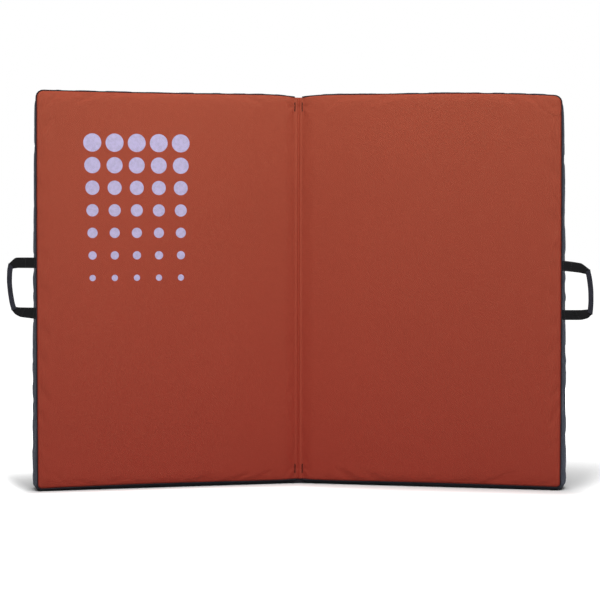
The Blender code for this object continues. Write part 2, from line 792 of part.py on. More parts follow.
def standing_loop(foot, reach, span, seat, thickness):
    """Path of a band sewn flat at both ends that stands off in between."""
    rise = (span - 2 * foot) * LOOP_RISE_SHARE
    near, far = seat + thickness / 2, seat + reach - thickness / 2
    start, end = -span / 2, span / 2
    return [
        (start, near), (start + foot, near), (start + foot + rise / 2, (near + far) / 2),
        (start + foot + rise, far), (end - foot - rise, far),
        (end - foot - rise / 2, (near + far) / 2), (end - foot, near), (end, near),
    ]


def haul_handle(half, side):
    """Webbing grab loop across the yoke."""
    seat = BASE_SEAT + PATCH + SEAT_GAP
    path = standing_loop(HAUL_FOOT, HAUL_REACH, HAUL_SPAN, seat, WEBBING)
    level = YOKE_LOW + YOKE_HEIGHT / 2
    stations = path_stations(
        path, lambda s, depth: (HARNESS_FROM_FOLD + s, depth, level), (0, 0, WEBBING_WIDTH / 2), WEBBING
    )
    mesh_object("haul_handle", stretched(ribbon(stations), side), black_webbing(), half)


def strap_rise(share):
    """Two straight runs with a rounded peak between them."""
    from_peak = abs(2 * share - 1)
    if from_peak > STRAP_PEAK_SHARE:
        return 1 - from_peak
    return 1 - (from_peak**2 / STRAP_PEAK_SHARE + STRAP_PEAK_SHARE) / 2


def strap_line(hand, share):
    """Centre, half-width and half-thickness of a shoulder strap at a share of its length."""
    offset = STRAP_TOP_OFFSET + share * (STRAP_FOOT_OFFSET - STRAP_TOP_OFFSET)
    offset += STRAP_SWEEP * math.sin(math.pi * share)
    swell = min(1, math.sin(math.pi * share) * STRAP_SWELL_RATE)
    half_thickness = (STRAP_END + (STRAP_PADDING - STRAP_END) * swell) / 2
    lift = half_thickness + share * STRAP_FOOT_LIFT
    depth = BASE_SEAT + lift + STRAP_BOW * strap_rise(share)
    top = YOKE_LOW - SEAT_GAP - STRAP_END / 2
    taper = max(0, (share - TAPER_FROM_SHARE) / (1 - TAPER_FROM_SHARE)) ** TAPER_POWER
    half_width = (STRAP_WIDTH - (STRAP_WIDTH - STRAP_FOOT_WIDTH) * taper) / 2
    centre = (HARNESS_FROM_FOLD + hand * offset, depth, top - share * STRAP_LENGTH)
    return np.array(centre), half_width, half_thickness


def strap_normal(hand, share):
    """Unit vector away from the pad, square to the strap."""
    step = NORMAL_STEP_SHARE / STRAP_STEPS
    ahead, behind = strap_line(hand, min(share + step, 1))[0], strap_line(hand, max(share - step, 0))[0]
    along = ahead - behind
    out = np.cross((1, 0, 0), along)
    return out / np.linalg.norm(out) * (1 if out[1] > 0 else -1)


def shoulder_strap(half, side, hand, name):
    pivot = empty(name + "_pivot", half, (side * strap_line(hand, 0)[0][0], *strap_line(hand, 0)[0][1:]))
    stations = []
    for share in np.linspace(0, 1, STRAP_STEPS + 1):
        centre, half_width, half_thickness = strap_line(hand, share)
        stations.append((centre, (half_width, 0, 0), strap_normal(hand, share) * half_thickness))
    stations = nosed(stations, STRAP_END)
    built = stretched(ribbon(stations, STRAP_ROUNDING_SHARE), side)
    mesh_object(name, built, strap_padding(), pivot)
    return pivot


def lock_place(hand):
    """Centre line, depth and top of a ladder lock."""
    foot = strap_line(hand, 1)[0]
    return foot[0], foot[1], foot[2] - TAB_DROP


def strap_tab(side, hand, name, pivot):
    """Webbing from the strap's outer side, round the ladder lock's top bar and back."""
    u, depth, lock_top = lock_place(hand)
    layer = WEBBING / 2 + SEAT_GAP
    bar_radius = wrap_radius(LOCK_BAR, LOCK_THICKNESS)
    lap_share = 1 - TAB_LAP / STRAP_LENGTH
    path = []
    for share in np.linspace(lap_share, 1, TAB_STEPS):
        centre, _, half_thickness = strap_line(hand, share)
        out = strap_normal(hand, share)
        point = centre + out * (half_thickness + layer)
        path.append((point[1], point[2]))
    bar_middle = lock_top - LOCK_BAR / 2
    path += arc((depth, bar_middle), bar_radius, 0, -180, TURN_STEPS)
    path.append((depth - bar_radius, lock_top + TAB_DROP / 2))
    stations = path_stations(
        path, lambda v, w: (u, v, w), (WEBBING_WIDTH / 2, 0, 0), WEBBING
    )
    mesh_object(name, stretched(ribbon(stations), side), black_webbing(), pivot)


def ladder_lock(side, hand, name, pivot):
    """Plastic lock: a bar for the tab, a bar between the windows and a broad foot bar."""
    u, depth, top = lock_place(hand)
    rows = (LOCK_BAR, LOCK_WINDOW, LOCK_BAR, LOCK_WINDOW, LOCK_FOOT_BAR)
    foot = top - sum(rows)
    flare = LOCK_BAR / 2
    outer = [
        (u - LOCK_WIDTH / 2, top), (u + LOCK_WIDTH / 2, top),
        (u + LOCK_WIDTH / 2, foot + flare), (u + LOCK_WIDTH / 2 - flare, foot),
        (u - LOCK_WIDTH / 2 + flare, foot), (u - LOCK_WIDTH / 2, foot + flare),
    ]
    built = prism(outer, depth - LOCK_THICKNESS / 2, depth + LOCK_THICKNESS / 2, 1)
    lock = mesh_object(name, stretched(built, side), buckle_plastic(), pivot)
    rounded_edges(lock, LOCK_EDGE, 1)
    window_half = WEBBING_WIDTH / 2 + LOCK_EDGE
    for i, window_top in enumerate((top - rows[0], top - sum(rows[:3]))):
        window = block(
            (u - window_half, depth - CUT_OVERRUN, window_top - LOCK_WINDOW),
            (u + window_half, depth + CUT_OVERRUN, window_top),
        )
        cut(lock, f"{name}_window_{i + 1}", window, side)


def adjuster_webbing(half, side, hand, name):
    """Webbing from the lower anchor, up round the ladder lock's foot bar, its tail hanging."""
    u, depth, top = lock_place(hand)
    foot_bar_top = top - 2 * LOCK_BAR - 2 * LOCK_WINDOW
    turn = wrap_radius(LOCK_BAR, LOCK_THICKNESS)
    seat = BASE_SEAT + WEBBING / 2
    start = ANCHOR_TOP + SEAT_GAP
    turn_height = foot_bar_top - LOCK_BAR / 2
    path = [
        (seat, start), (seat, start + WEBBING_WIDTH),
        (depth - turn, turn_height - LOCK_FOOT_BAR), (depth - turn, turn_height),
    ]
    path += arc((depth, turn_height), turn, 180, 0, TURN_STEPS)[1:]
    path += [(depth + turn, turn_height - LOCK_FOOT_BAR)]
    path += [(depth + turn - LOCK_THICKNESS / 2, turn_height - ADJUSTER_TAIL)]
    stations = path_stations(
        path, lambda v, w: (u, v, w), (WEBBING_WIDTH / 2, 0, 0), WEBBING
    )
    mesh_object(name, stretched(ribbon(stations), side), black_webbing(), half)


def lower_anchor(half, side, hand, name):
    u = lock_place(hand)[0]
    foot = ANCHOR_TOP - ANCHOR_HEIGHT
    points = [
        (u - ANCHOR_WIDTH / 2, foot), (u + ANCHOR_WIDTH / 2, foot),
        (u + ANCHOR_NECK / 2, ANCHOR_TOP), (u - ANCHOR_NECK / 2, ANCHOR_TOP),
    ]
    patch(name, half, side, points)


def shoulder_harness(half, side):
    shoulder_yoke(half, side)
    haul_handle(half, side)
    for word, hand in (("inner", -1), ("outer", 1)):
        pivot = shoulder_strap(half, side, hand, word + "_shoulder_strap")
        strap_tab(side, hand, word + "_strap_tab", pivot)
        ladder_lock(side, hand, word + "_ladder_lock", pivot)
        adjuster_webbing(half, side, hand, word + "_adjuster_webbing")
        lower_anchor(half, side, hand, word + "_lower_anchor")


def belt_anchor(half, side, hand, name):
    u = HARNESS_FROM_FOLD + hand * BELT_OFFSET
    middle = BELT_TOP + SEAT_GAP + WEBBING + BELT_ANCHOR_HEIGHT / 2
    patch(name, half, side, rectangle(u, middle, BELT_ANCHOR_WIDTH, BELT_ANCHOR_HEIGHT))


def belt_webbing(half, side, hand, name):
    """Hangs from its seam, runs through the buckle's slot and is sewn back on itself."""
    u = HARNESS_FROM_FOLD + hand * BELT_OFFSET
    seat = BASE_SEAT + WEBBING / 2
    pivot = empty(name + "_pivot", half, (side * u, seat, BELT_TOP))
    turn = wrap_radius(BUCKLE_BAR, PLUG_THICKNESS)
    depth = seat + turn + SEAT_GAP
    bar_middle = BELT_TOP - BELT_DROP - turn
    path = [
        (seat, BELT_TOP), (seat, BELT_TOP - BELT_FLAT),
        (depth - turn, bar_middle + BELT_FOLD_BACK), (depth - turn, bar_middle),
    ]
    path += arc((depth, bar_middle), turn, 180, 360, TURN_STEPS)[1:]
    path.append((depth + turn, bar_middle + BELT_FOLD_BACK))
    stations = path_stations(path, lambda v, w: (u, v, w), (BELT_WIDTH / 2, 0, 0), WEBBING)
    stations = nosed(stations, WEBBING)
    mesh_object(name, stretched(ribbon(stations), side), black_webbing(), pivot)
    return pivot, u, depth, bar_middle


def buckle_slot(item, name, side, u, depth, bar_middle):
    """The slot under a buckle's bar that the belt goes through."""
    half_width = BELT_WIDTH / 2 + BUCKLE_EDGE / 2
    low = bar_middle - BUCKLE_BAR / 2 - BUCKLE_WINDOW
    window = block(
        (u - half_width, depth - BUCKLE_THICKNESS, low),
        (u + half_width, depth + BUCKLE_THICKNESS, bar_middle - BUCKLE_BAR / 2),
    )
    cut(item, name, window, side)


def belt_socket(side, pivot, u, depth, bar_middle):
    """Female half of the side-release buckle: hollow, open at its foot and at both sides."""
    top = bar_middle + BUCKLE_BAR / 2
    foot = top - SOCKET_LENGTH
    half_width, half_depth = BUCKLE_WIDTH / 2, BUCKLE_THICKNESS / 2
    shoulder = top - BUCKLE_BAR - BUCKLE_WINDOW - BUCKLE_BAR / 2
    waist = half_width - BARB
    outer = [
        (u + half_width, shoulder), (u + waist, (shoulder + foot) / 2), (u + half_width, foot),
        (u - half_width, foot), (u - waist, (shoulder + foot) / 2), (u - half_width, shoulder),
    ]
    built = prism(outer, depth - half_depth, depth + half_depth, 1)
    socket = mesh_object("belt_socket", stretched(built, side), buckle_plastic(), pivot)
    rounded_edges(socket, BUCKLE_EDGE)
    frame_half = PLUG_THICKNESS / 2
    frame = block(
        (u - half_width, depth - frame_half, shoulder - BUCKLE_BAR),
        (u + half_width, depth + frame_half, top),
    )
    joined_to(socket, "socket_frame", frame, side)
    buckle_slot(socket, "socket_slot", side, u, depth, bar_middle)
    mouth = block(
        (u - MOUTH_WIDTH / 2, depth - MOUTH_HEIGHT / 2, foot - CUT_OVERRUN),
        (u + MOUTH_WIDTH / 2, depth + MOUTH_HEIGHT / 2, foot + MOUTH_DEPTH),
    )
    cut(socket, "socket_mouth", mouth, side)
    window_foot = foot + MOUTH_DEPTH - SIDE_WINDOW - BARB
    windows = block(
        (u - half_width - CUT_OVERRUN, depth - MOUTH_HEIGHT / 2, window_foot),
        (u + half_width + CUT_OVERRUN, depth + MOUTH_HEIGHT / 2, window_foot + SIDE_WINDOW),
    )
    cut(socket, "socket_side_windows", windows, side)


def belt_plug(side, pivot, u, depth, bar_middle):
    """Male half: a slotted base, a middle tongue and two barbed prongs."""
    top = bar_middle + BUCKLE_BAR / 2
    base_foot = top - PLUG_BASE
    foot = base_foot - PRONG_LENGTH
    half_width = BUCKLE_WIDTH / 2
    prong_out = MOUTH_WIDTH / 2 - SLIDER_CLEARANCE
    prong_in = prong_out - PRONG_WIDTH
    tongue = TONGUE_WIDTH / 2
    right_side = [
        (half_width, top), (half_width, base_foot), (prong_out, base_foot),
        (prong_out, foot + BARB_HEIGHT), (prong_out + BARB, foot + BARB_HEIGHT), (prong_out, foot + BARB),
        (prong_in + BARB / 2, foot), (prong_in, foot + BARB), (prong_in, base_foot),
        (tongue, base_foot), (tongue, foot + BARB), (tongue / 2, foot),
    ]
    points = [(u + a, w) for a, w in right_side] + [(u - a, w) for a, w in reversed(right_side)]
    built = prism(points, depth - PLUG_THICKNESS / 2, depth + PLUG_THICKNESS / 2, 1)
    plug = mesh_object("belt_plug", stretched(built, side), buckle_plastic(), pivot)
    buckle_slot(plug, "plug_slot", side, u, depth, bar_middle)


def waist_belt(half, side):
    for word, hand in (("inner", -1), ("outer", 1)):
        belt_anchor(half, side, hand, word + "_belt_anchor")
    socket_place = belt_webbing(half, side, -1, "inner_belt")
    belt_socket(side, *socket_place)
    plug_place = belt_webbing(half, side, 1, "outer_belt")
    belt_plug(side, *plug_place)


def closure_patch(half, side, name, height):
    """Belt webbing sewn flat, ending along the 45 degree crease where the strap turns down."""
    u, w = CLOSURE_FROM_FOLD, height
    reach, half_width = CLOSURE_PATCH_LENGTH, BELT_WIDTH / 2
    points = [
        (u - reach, w - half_width), (u + half_width, w - half_width),
        (u - half_width, w + half_width), (u - reach, w + half_width),
    ]
    built = stretched(prism(points, BASE_SEAT, BASE_SEAT + WEBBING, 1), side)
    mesh_object(name, built, black_webbing(), half, smooth=False)


def closure_strap(half, side, name, height):
    """The strap folded over to hang down, its end round the hook's bar and sewn back."""
    u, w = CLOSURE_FROM_FOLD, height
    crease_depth = BASE_SEAT + WEBBING + SEAT_GAP / 2
    pivot = empty(name + "_pivot", half, (side * u, crease_depth, w))
    near = BASE_SEAT + WEBBING + SEAT_GAP + WEBBING / 2
    turn = wrap_radius(HOOK_BAR, HOOK_PLATE)
    bar_middle = w - CLOSURE_DROP
    half_width = BELT_WIDTH / 2
    path = [
        (near, w), (near, w - half_width - WEBBING), (near, bar_middle),
    ]
    centre = near + turn
    path += arc((centre, bar_middle), turn, 180, 360, TURN_STEPS)[1:]
    path.append((near + 2 * turn, bar_middle + CLOSURE_FOLD_BACK))
    stations = path_stations(path, lambda v, w: (u, v, w), (half_width, 0, 0), WEBBING)
    middle, _, through = stations[0]
    stations[0] = (middle, (half_width, 0, -half_width), through)
    mesh_object(name, stretched(ribbon(stations), side), black_webbing(), pivot)
    return pivot, u, centre, bar_middle


def closure_hook(side, name, pivot, u, centre, bar_middle):
    """Steel plate bent to a hook, with a slot for the strap."""
    top = bar_middle + HOOK_BAR / 2
    bend = top - HOOK_FLAT
    path = [(centre, top), (centre, bend)]
    path += arc((centre + HOOK_RADIUS, bend), HOOK_RADIUS, 180, 360, 2 * TURN_STEPS)[1:]
    path.append((centre + 2 * HOOK_RADIUS, bend + HOOK_TONGUE))
    stations = path_stations(path, lambda v, w: (u, v, w), (HOOK_WIDTH / 2, 0, 0), HOOK_PLATE)
    hook = mesh_object(name, stretched(ribbon(stations), side), hook_steel(), pivot)
    half_width = BELT_WIDTH / 2 + BUCKLE_EDGE / 2
    window = block(
        (u - half_width, centre - HOOK_RADIUS / 2, top - HOOK_BAR - HOOK_WINDOW),
        (u + half_width, centre + HOOK_RADIUS / 2, top - HOOK_BAR),
    )
    cut(hook, name + "_slot", window, side)


def strap_keeper(half, side, name, height):
    """Elastic band that slides along the closure strap and holds its rolled end."""
    u = CLOSURE_FROM_FOLD
    near = BASE_SEAT + WEBBING + SEAT_GAP
    top = height - BELT_WIDTH / 2 - KEEPER_DROP
    inner_half = BELT_WIDTH / 2 + KEEPER_CLEARANCE
    outer_half = inner_half + KEEPER_WALL
    low, high = near - KEEPER_CLEARANCE, near + WEBBING + KEEPER_CLEARANCE
    slide = empty(name + "_pivot", half, (side * u, near + WEBBING / 2, top))
    built = block(
        (u - outer_half, low - KEEPER_WALL, top - KEEPER_HEIGHT),
        (u + outer_half, high + KEEPER_WALL, top),
    )
    keeper = mesh_object(name, stretched(built, side), strap_padding(), slide)
    hole = block(
        (u - inner_half, low, top - KEEPER_HEIGHT - CUT_OVERRUN),
        (u + inner_half, high, top + CUT_OVERRUN),
    )
    cut(keeper, name + "_hole", hole, side)


def closures(half, side):
    for word, height in zip(("upper", "lower"), CLOSURE_HEIGHTS):
        closure_patch(half, side, word + "_closure_patch", height)
        strap = closure_strap(half, side, word + "_closure_strap", height)
        closure_hook(side, word + "_closure_hook", *strap)
        strap_keeper(half, side, word + "_strap_keeper", height)


def closure_loop(half, side, name, height):
    """Webbing sewn flat at its two ends that stands off between them for the hook."""
    path = standing_loop(LOOP_FOOT, LOOP_REACH, LOOP_SPAN, BASE_SEAT, WEBBING)
    stations = path_stations(
        path, lambda s, depth: (LOOP_FROM_FOLD, depth, height + s), (WEBBING_WIDTH / 2, 0, 0), WEBBING
    )
    mesh_object(name, stretched(ribbon(stations), side), black_webbing(), half)


def closure_loops(half, side):
    for word, height in zip(("upper", "lower"), CLOSURE_HEIGHTS):
        closure_loop(half, side, word + "_closure_loop", height)


def fold_setback():
    """How far behind the middle of the footprint the fold axis stands."""
    handle_front = turned((HALF_WIDTH + HANDLE_REACH, AXIS_AHEAD - GRIP_THICKNESS / 2), REST_TURN)[1]
    (u, depth, _), half_width, half_thickness = strap_line(-1, BACKMOST_SHARE)
    strap_back = turned((u - half_width, depth + half_thickness), REST_TURN)[1]
    return -(handle_front + strap_back) / 2


def pad():
    fold = empty("fold_axis", None, (0, fold_setback(), 0))
    for word, side in SIDES.items():
        half = empty(word + "_frame", fold, turn=-side * REST_TURN)
        landing_cover(half, side)
        impact_foam(half, side)
        core_foam(half, side)
        boxing(half, side)
        base_cover(half, side)
        front_binding(half, side)
        rear_binding(half, side)
        carry_handle(half, side)
        zip_tape(half, side)
        zip_slider(half, side)
        if word == HARNESS_SIDE:
            shoulder_harness(half, side)
            waist_belt(half, side)
            closure_loops(half, side)
        if word == CLOSURE_SIDE:
            closures(half, side)
    hinge_panel(fold)


cleared_scene()
pad()
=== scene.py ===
import json
import math

import bmesh
import bpy
import numpy as np
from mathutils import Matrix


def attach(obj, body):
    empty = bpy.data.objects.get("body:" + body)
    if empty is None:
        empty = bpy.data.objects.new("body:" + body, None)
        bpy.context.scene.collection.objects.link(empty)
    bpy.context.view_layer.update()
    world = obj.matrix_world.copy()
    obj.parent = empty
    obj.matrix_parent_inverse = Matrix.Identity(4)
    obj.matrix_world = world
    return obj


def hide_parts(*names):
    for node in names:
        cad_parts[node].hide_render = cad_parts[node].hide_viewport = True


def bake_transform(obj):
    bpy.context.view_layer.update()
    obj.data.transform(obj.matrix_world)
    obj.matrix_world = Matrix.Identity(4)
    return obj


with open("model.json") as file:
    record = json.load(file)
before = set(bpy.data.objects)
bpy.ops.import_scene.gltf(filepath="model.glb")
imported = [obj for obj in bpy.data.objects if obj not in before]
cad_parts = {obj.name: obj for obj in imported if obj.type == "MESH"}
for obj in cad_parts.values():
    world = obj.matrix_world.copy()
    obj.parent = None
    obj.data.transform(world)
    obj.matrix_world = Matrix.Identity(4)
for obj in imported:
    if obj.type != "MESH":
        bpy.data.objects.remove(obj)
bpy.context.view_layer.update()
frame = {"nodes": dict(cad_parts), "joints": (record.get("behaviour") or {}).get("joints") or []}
scene = bpy.context.scene
scene.view_settings.view_transform = "Standard"
draws = np.random.default_rng(7)

# the pad's frame: u outward from the fold, v from the landing side to the base side, w up
pad = {
    "halfWidth": 0.600, "height": 0.889, "seamRise": 0.0068, "seamDepth": 0.086, "axisAhead": 0.007,
    "foldClearance": 0.003, "turn": math.radians(15), "cornerRadius": (0.009, 0.016), "foldRadius": (0.002, 0.006),
    "rearCornerRadius": (0.010, 0.034), "sideSwell": 0.0012, "endDraw": 0.0020, "dipTop": 0.006, "dipFoot": 0.0025,
    "dipReach": 0.10, "droopFrom": 0.30, "landingCrown": 0.004, "baseCrown": 0.002, "cloth": 0.0012,
    "binding": 0.002, "gap": 0.0003,
}
sides = {"left": -1, "right": 1}
# how each half has slumped: the rear seam's inset at the foot and at the top, the outer corners' droop
settling = {
    -1: {"foot": 0.0045, "top": 0.0135, "droop": 0.0, "footDroop": 0.0025},
    1: {"foot": 0.0010, "top": 0.0090, "droop": 0.0120, "footDroop": 0.0},
}
foldPlace = next(joint["pos_m"] for joint in frame["joints"] if joint["name"] == "fold")
baseSeat = pad["axisAhead"] + pad["seamDepth"] + pad["baseCrown"] + pad["gap"]


def toWorld(u, v, w, side):  # turns a half's frame by its opening angle about the fold
    turnCos, turnSin = math.cos(pad["turn"]), math.sin(pad["turn"])
    u, v, w = np.broadcast_arrays(u, v, w)
    return np.stack((side * (u * turnCos + v * turnSin), v * turnCos - u * turnSin + foldPlace[1], w), axis=-1)


def toWorldVector(du, dv, dw, side):
    return toWorld(du, dv, dw, side) - toWorld(0.0, 0.0, 0.0, side)


def localPath(points, side):  # a row or a grid of points in the half's frame
    return toWorld(*np.moveaxis(np.asarray(points, float), -1, 0), side)


def backward(side):  # from the landing side to the base side
    return toWorldVector(0.0, 1.0, 0.0, side)


def unit(vectors):
    return vectors / np.maximum(np.linalg.norm(vectors, axis=-1, keepdims=True), 1e-12)


# meshes

def meshPiece(name, points, faces):
    mesh = bpy.data.meshes.new(name)
    mesh.from_pydata(points.reshape(-1, 3).tolist(), [], faces)
    mesh.shade_smooth()
    piece = bpy.data.objects.new(name, mesh)
    scene.collection.objects.link(piece)
    return piece


def putUv(mesh, values):
    mesh.uv_layers.new(name="UVMap").data.foreach_set("uv", values.astype(np.float32).ravel())


def putPoints(mesh, values):
    mesh.vertices.foreach_set("co", values.astype(np.float32).ravel())


def readPoints(mesh):
    values = np.empty(len(mesh.vertices) * 3, dtype=np.float32)
    mesh.vertices.foreach_get("co", values)
    return values.reshape(-1, 3).astype(float)


def gridMesh(name, points, uv=None, wrapRows=False, wrapColumns=False, caps=False):
    # quads between neighbouring rows and columns of a grid of points, with a UV in metres
    rows, columns = points.shape[:2]
    i, j = np.meshgrid(np.arange(rows - (not wrapRows)), np.arange(columns - (not wrapColumns)), indexing="ij")
    iNext, jNext = (i + 1) % rows, (j + 1) % columns
    faces = np.stack((i * columns + j, i * columns + jNext, iNext * columns + jNext, iNext * columns + j), axis=-1)
    faces = faces.reshape(-1, 4).tolist()
    if caps:
        faces += [list(range(columns))[::-1], list(range((rows - 1) * columns, rows * columns))]
    piece = meshPiece(name, points, faces)
    if uv is not None:
        corners = np.stack((uv[i, j], uv[i, j + 1], uv[i + 1, j + 1], uv[i + 1, j]), axis=-2).reshape(-1, 2)
        values = np.zeros((len(piece.data.loops), 2))
        values[: len(corners)] = corners
        putUv(piece.data, values)
    return piece


def runLength(points):  # distance along a row of points
    steps = np.linalg.norm(np.diff(points, axis=0), axis=-1)
    return np.concatenate(([0.0], np.cumsum(steps)))


def placesOn(line, reach, where):  # the points at given distances, read between the line's own
    return np.stack([np.interp(where, reach, line[:, k]) for k in range(line.shape[1])], axis=1)


def resample(points, step):  # the same line with points at an even step
    points = np.asarray(points, float)
    reach = runLength(points)
    count = max(3, int(round(reach[-1] / step)) + 1)
    return placesOn(points, reach, np.linspace(0, reach[-1], count))


def smoothed(points, passes, closed=False):  # each pass moves a point halfway to its neighbours' middle
    points = np.array(points, float)
    for _ in range(passes):
        if closed:
            points = points / 2 + (np.roll(points, 1, axis=0) + np.roll(points, -1, axis=0)) / 4
        else:
            points[1:-1] = points[1:-1] / 2 + (points[:-2] + points[2:]) / 4
    return points


def stadium(aspect, arcSteps=4, flatSteps=6):
    # closed outline of a band: flat faces with round edges, in shares of half the width and thickness
    arc = np.linspace(-math.pi / 2, math.pi / 2, arcSteps + 1)
    flat = np.linspace(1 - aspect, aspect - 1, flatSteps + 1)[1:-1]
    right = np.stack((1 - aspect + aspect * np.cos(arc), np.sin(arc)), axis=1)
    top = np.stack((flat, np.ones_like(flat)), axis=1)
    return np.concatenate((right, top, -right, -top))


def reworked(piece, work):  # runs a bmesh step on the piece's mesh
    made = bmesh.new()
    made.from_mesh(piece.data)
    work(made)
    made.to_mesh(piece.data)
    made.free()


def facesOut(piece):  # closed shapes only
    reworked(piece, lambda made: bmesh.ops.recalc_face_normals(made, faces=made.faces))


def faceOutward(piece, outward):  # turns an open sheet to face the way given for its points
    way = outward.reshape(-1, 3)
    if sum(float(np.dot(face.normal, way[face.vertices[0]])) for face in list(piece.data.polygons)[::60]) < 0:
        piece.data.flip_normals()


def sweep(name, path, across, through, profile, closed=False):
    # each profile point is the path's point plus shares of the across and through vectors
    points = path[:, None] + profile[None, :, :1] * across[:, None] + profile[None, :, 1:] * through[:, None]
    rowLength = runLength(np.concatenate((path, path[:1])) if closed else path)
    size = np.array([np.linalg.norm(vectors, axis=1).max() for vectors in (across, through)])
    around = runLength(np.concatenate((profile, profile[:1])) * size)
    uv = np.stack(np.meshgrid(rowLength, around, indexing="ij"), axis=-1)
    piece = gridMesh(name, points, uv, wrapRows=closed, wrapColumns=True, caps=not closed)
    facesOut(piece)
    return piece


def ripple(places, wavelength, seed):  # sum of five sine waves of drawn length, phase and height
    waves = np.random.default_rng(seed)
    total = np.zeros_like(places)
    for _ in range(5):
        phase = 2 * math.pi * places / (wavelength * waves.uniform(0.6, 1.7)) + waves.uniform(0, 7)
        total += np.sin(phase) * waves.uniform(0.5, 1)
    return total / 2.4


# materials

def linearColour(red, green, blue):
    shares = np.array((red, green, blue)) / 255
    return (*np.where(shares <= 0.04045, shares / 12.92, ((shares + 0.055) / 1.055) ** 2.4), 1.0)


def shaded(colour, share):  # a linear colour made darker
    return tuple(share * c for c in colour[:3]) + (1.0,)


class nodeMaker:  # adds nodes to a new material of the name given, or to a world
    def __init__(self, name, holder=None):
        self.holder = holder or bpy.data.materials.new(name)
        self.holder.use_nodes = True
        self.tree = self.holder.node_tree

    def put(self, socket, value):
        if isinstance(value, bpy.types.NodeSocket):
            self.tree.links.new(value, socket)
        else:
            socket.default_value = value

    def add(self, kind, inputs=None, **settings):
        node = self.tree.nodes.new(kind)
        for key, value in settings.items():
            setattr(node, key, value)
        for key, value in (inputs or {}).items():
            self.put(node.inputs[key], value)
        return node

    def math(self, operation, *values):
        return self.add("ShaderNodeMath", dict(enumerate(values)), operation=operation).outputs[0]

    def times(self, first, second):
        return self.math("MULTIPLY", first, second)

    def plus(self, first, second):
        return self.math("ADD", first, second)

    def minus(self, first, second):
        return self.math("SUBTRACT", first, second)

    def scaled(self, value, factor, offset):
        return self.math("MULTIPLY_ADD", value, factor, offset)

    def length(self, first, second):  # root of the sum of two squares
        return self.math("SQRT", self.plus(self.times(first, first), self.times(second, second)))

    def mix(self, share, first, second):
        return self.add("ShaderNodeMix", {0: share, 6: first, 7: second}, data_type="RGBA").outputs[2]

    def tones(self, share, first, second):  # mixes two colours written from 0 to 255
        return self.mix(share, linearColour(*first), linearColour(*second))

    def ramp(self, value, low, high):  # 0 below low, 1 above high
        return self.add("ShaderNodeMapRange", {"Value": value, "From Min": low, "From Max": high}).outputs[0]

    def noise(self, scale, detail=3.0, vector=None, roughness=0.55):
        inputs = {"Scale": scale, "Detail": detail, "Roughness": roughness, "Vector": vector or self.objectPlace()}
        return self.add("ShaderNodeTexNoise", inputs).outputs["Fac"]

    def objectPlace(self):
        return self.add("ShaderNodeTexCoord").outputs["Object"]

    def stretched(self, scale):
        return self.add("ShaderNodeMapping", {"Vector": self.objectPlace(), "Scale": scale}).outputs[0]

    def parts(self, vector):
        return self.add("ShaderNodeSeparateXYZ", {"Vector": vector}).outputs

    def uvPlace(self):
        return self.parts(self.add("ShaderNodeUVMap", uv_map="UVMap").outputs[0])[:2]

    def wave(self, place, pitch):  # sine of the place over one pitch
        return self.math("SINE", self.times(place, 2 * math.pi / pitch))

    def bump(self, height, distance, strength=1.0, under=None):
        inputs = {"Height": height, "Distance": distance, "Strength": strength}
        return self.add("ShaderNodeBump", inputs | ({"Normal": under} if under else {})).outputs[0]

    def seenRays(self):  # 1 for what the camera sees, also in metal and through glass
        rays = self.add("ShaderNodeLightPath").outputs
        seen = self.math("MAXIMUM", rays["Is Camera Ray"], rays["Is Glossy Ray"])
        return self.math("MAXIMUM", seen, rays["Is Transmission Ray"])

    def finish(self, colour, roughness, normal, specular=0.5, sheen=None, more=None):
        sockets = {"Base Color": colour, "Roughness": roughness, "Normal": normal, "Specular IOR Level": specular}
        if sheen:
            sockets |= {"Sheen Weight": sheen[0], "Sheen Tint": linearColour(*sheen[1]), "Sheen Roughness": 0.5}
        for key, value in (sockets | (more or {})).items():
            self.put(self.tree.nodes["Principled BSDF"].inputs[key], value)
        return self.holder


clothLooks = {
    "landing": {"colour": (157, 66, 48), "dark": (148, 61, 44), "footShadeColour": (157, 52, 42), "footShadeDark": (148, 47, 38),
                "pitch": 0.0011, "rough": 0.42, "sheen": 0.04, "tint": (1.0, 0.85, 0.50, 1.0), "rightPaintedShade": 0.85,
                "paintedShadeFrom": (0.10, 0.40)},
    "boxing": {"colour": (74, 79, 92), "dark": (54, 58, 69), "pitch": 0.0015, "rough": 0.86, "sheen": 0.20,
               "scuff": 0.25},
    "base": {"colour": (58, 61, 70), "dark": (38, 41, 48), "pitch": 0.0024, "rough": 0.70, "sheen": 0.15,
             "scuff": 0.26},
    "patch": {"colour": (76, 80, 92), "dark": (58, 61, 72), "pitch": 0.0017, "rough": 0.74, "sheen": 0.15,
              "scuff": 0.35},
    "strap": {"colour": (90, 95, 109), "dark": (68, 72, 84), "pitch": 0.0021, "rough": 0.88, "sheen": 0.20,
              "scuff": 0.25},
}
clothGrain = {
    "broad": (2.3, 3.0), "fine": (140.0, 2.0), "broadShare": 0.55, "patchy": (0.32, 0.72), "streaks": (7.0, 7.0, 2.2),
    "streakDetail": 8.0, "streakRough": 0.68, "scuffed": (0.53, 0.72), "paler": 34, "soilShadeWander": 0.010,
    "soilShadeLine": (0.022, 0.008), "soilShadeDepth": 0.92, "soilAndShade": (10, 10, 11), "threadRough": 0.10, "threads": (0.00022, 0.6),
    "creaseNoise": (34.0, 4.0), "creases": (0.0012, 0.55), "specular": 0.25,
}
printLook = {
    "colour": (190, 182, 220), "worn": 0.86, "wear": (0.35, 0.6), "left": -0.500, "low": 0.448, "pitch": 0.0500,
    "columns": 5, "rows": 7, "smallest": 0.0070, "growth": 0.0022, "blur": 0.006,
}


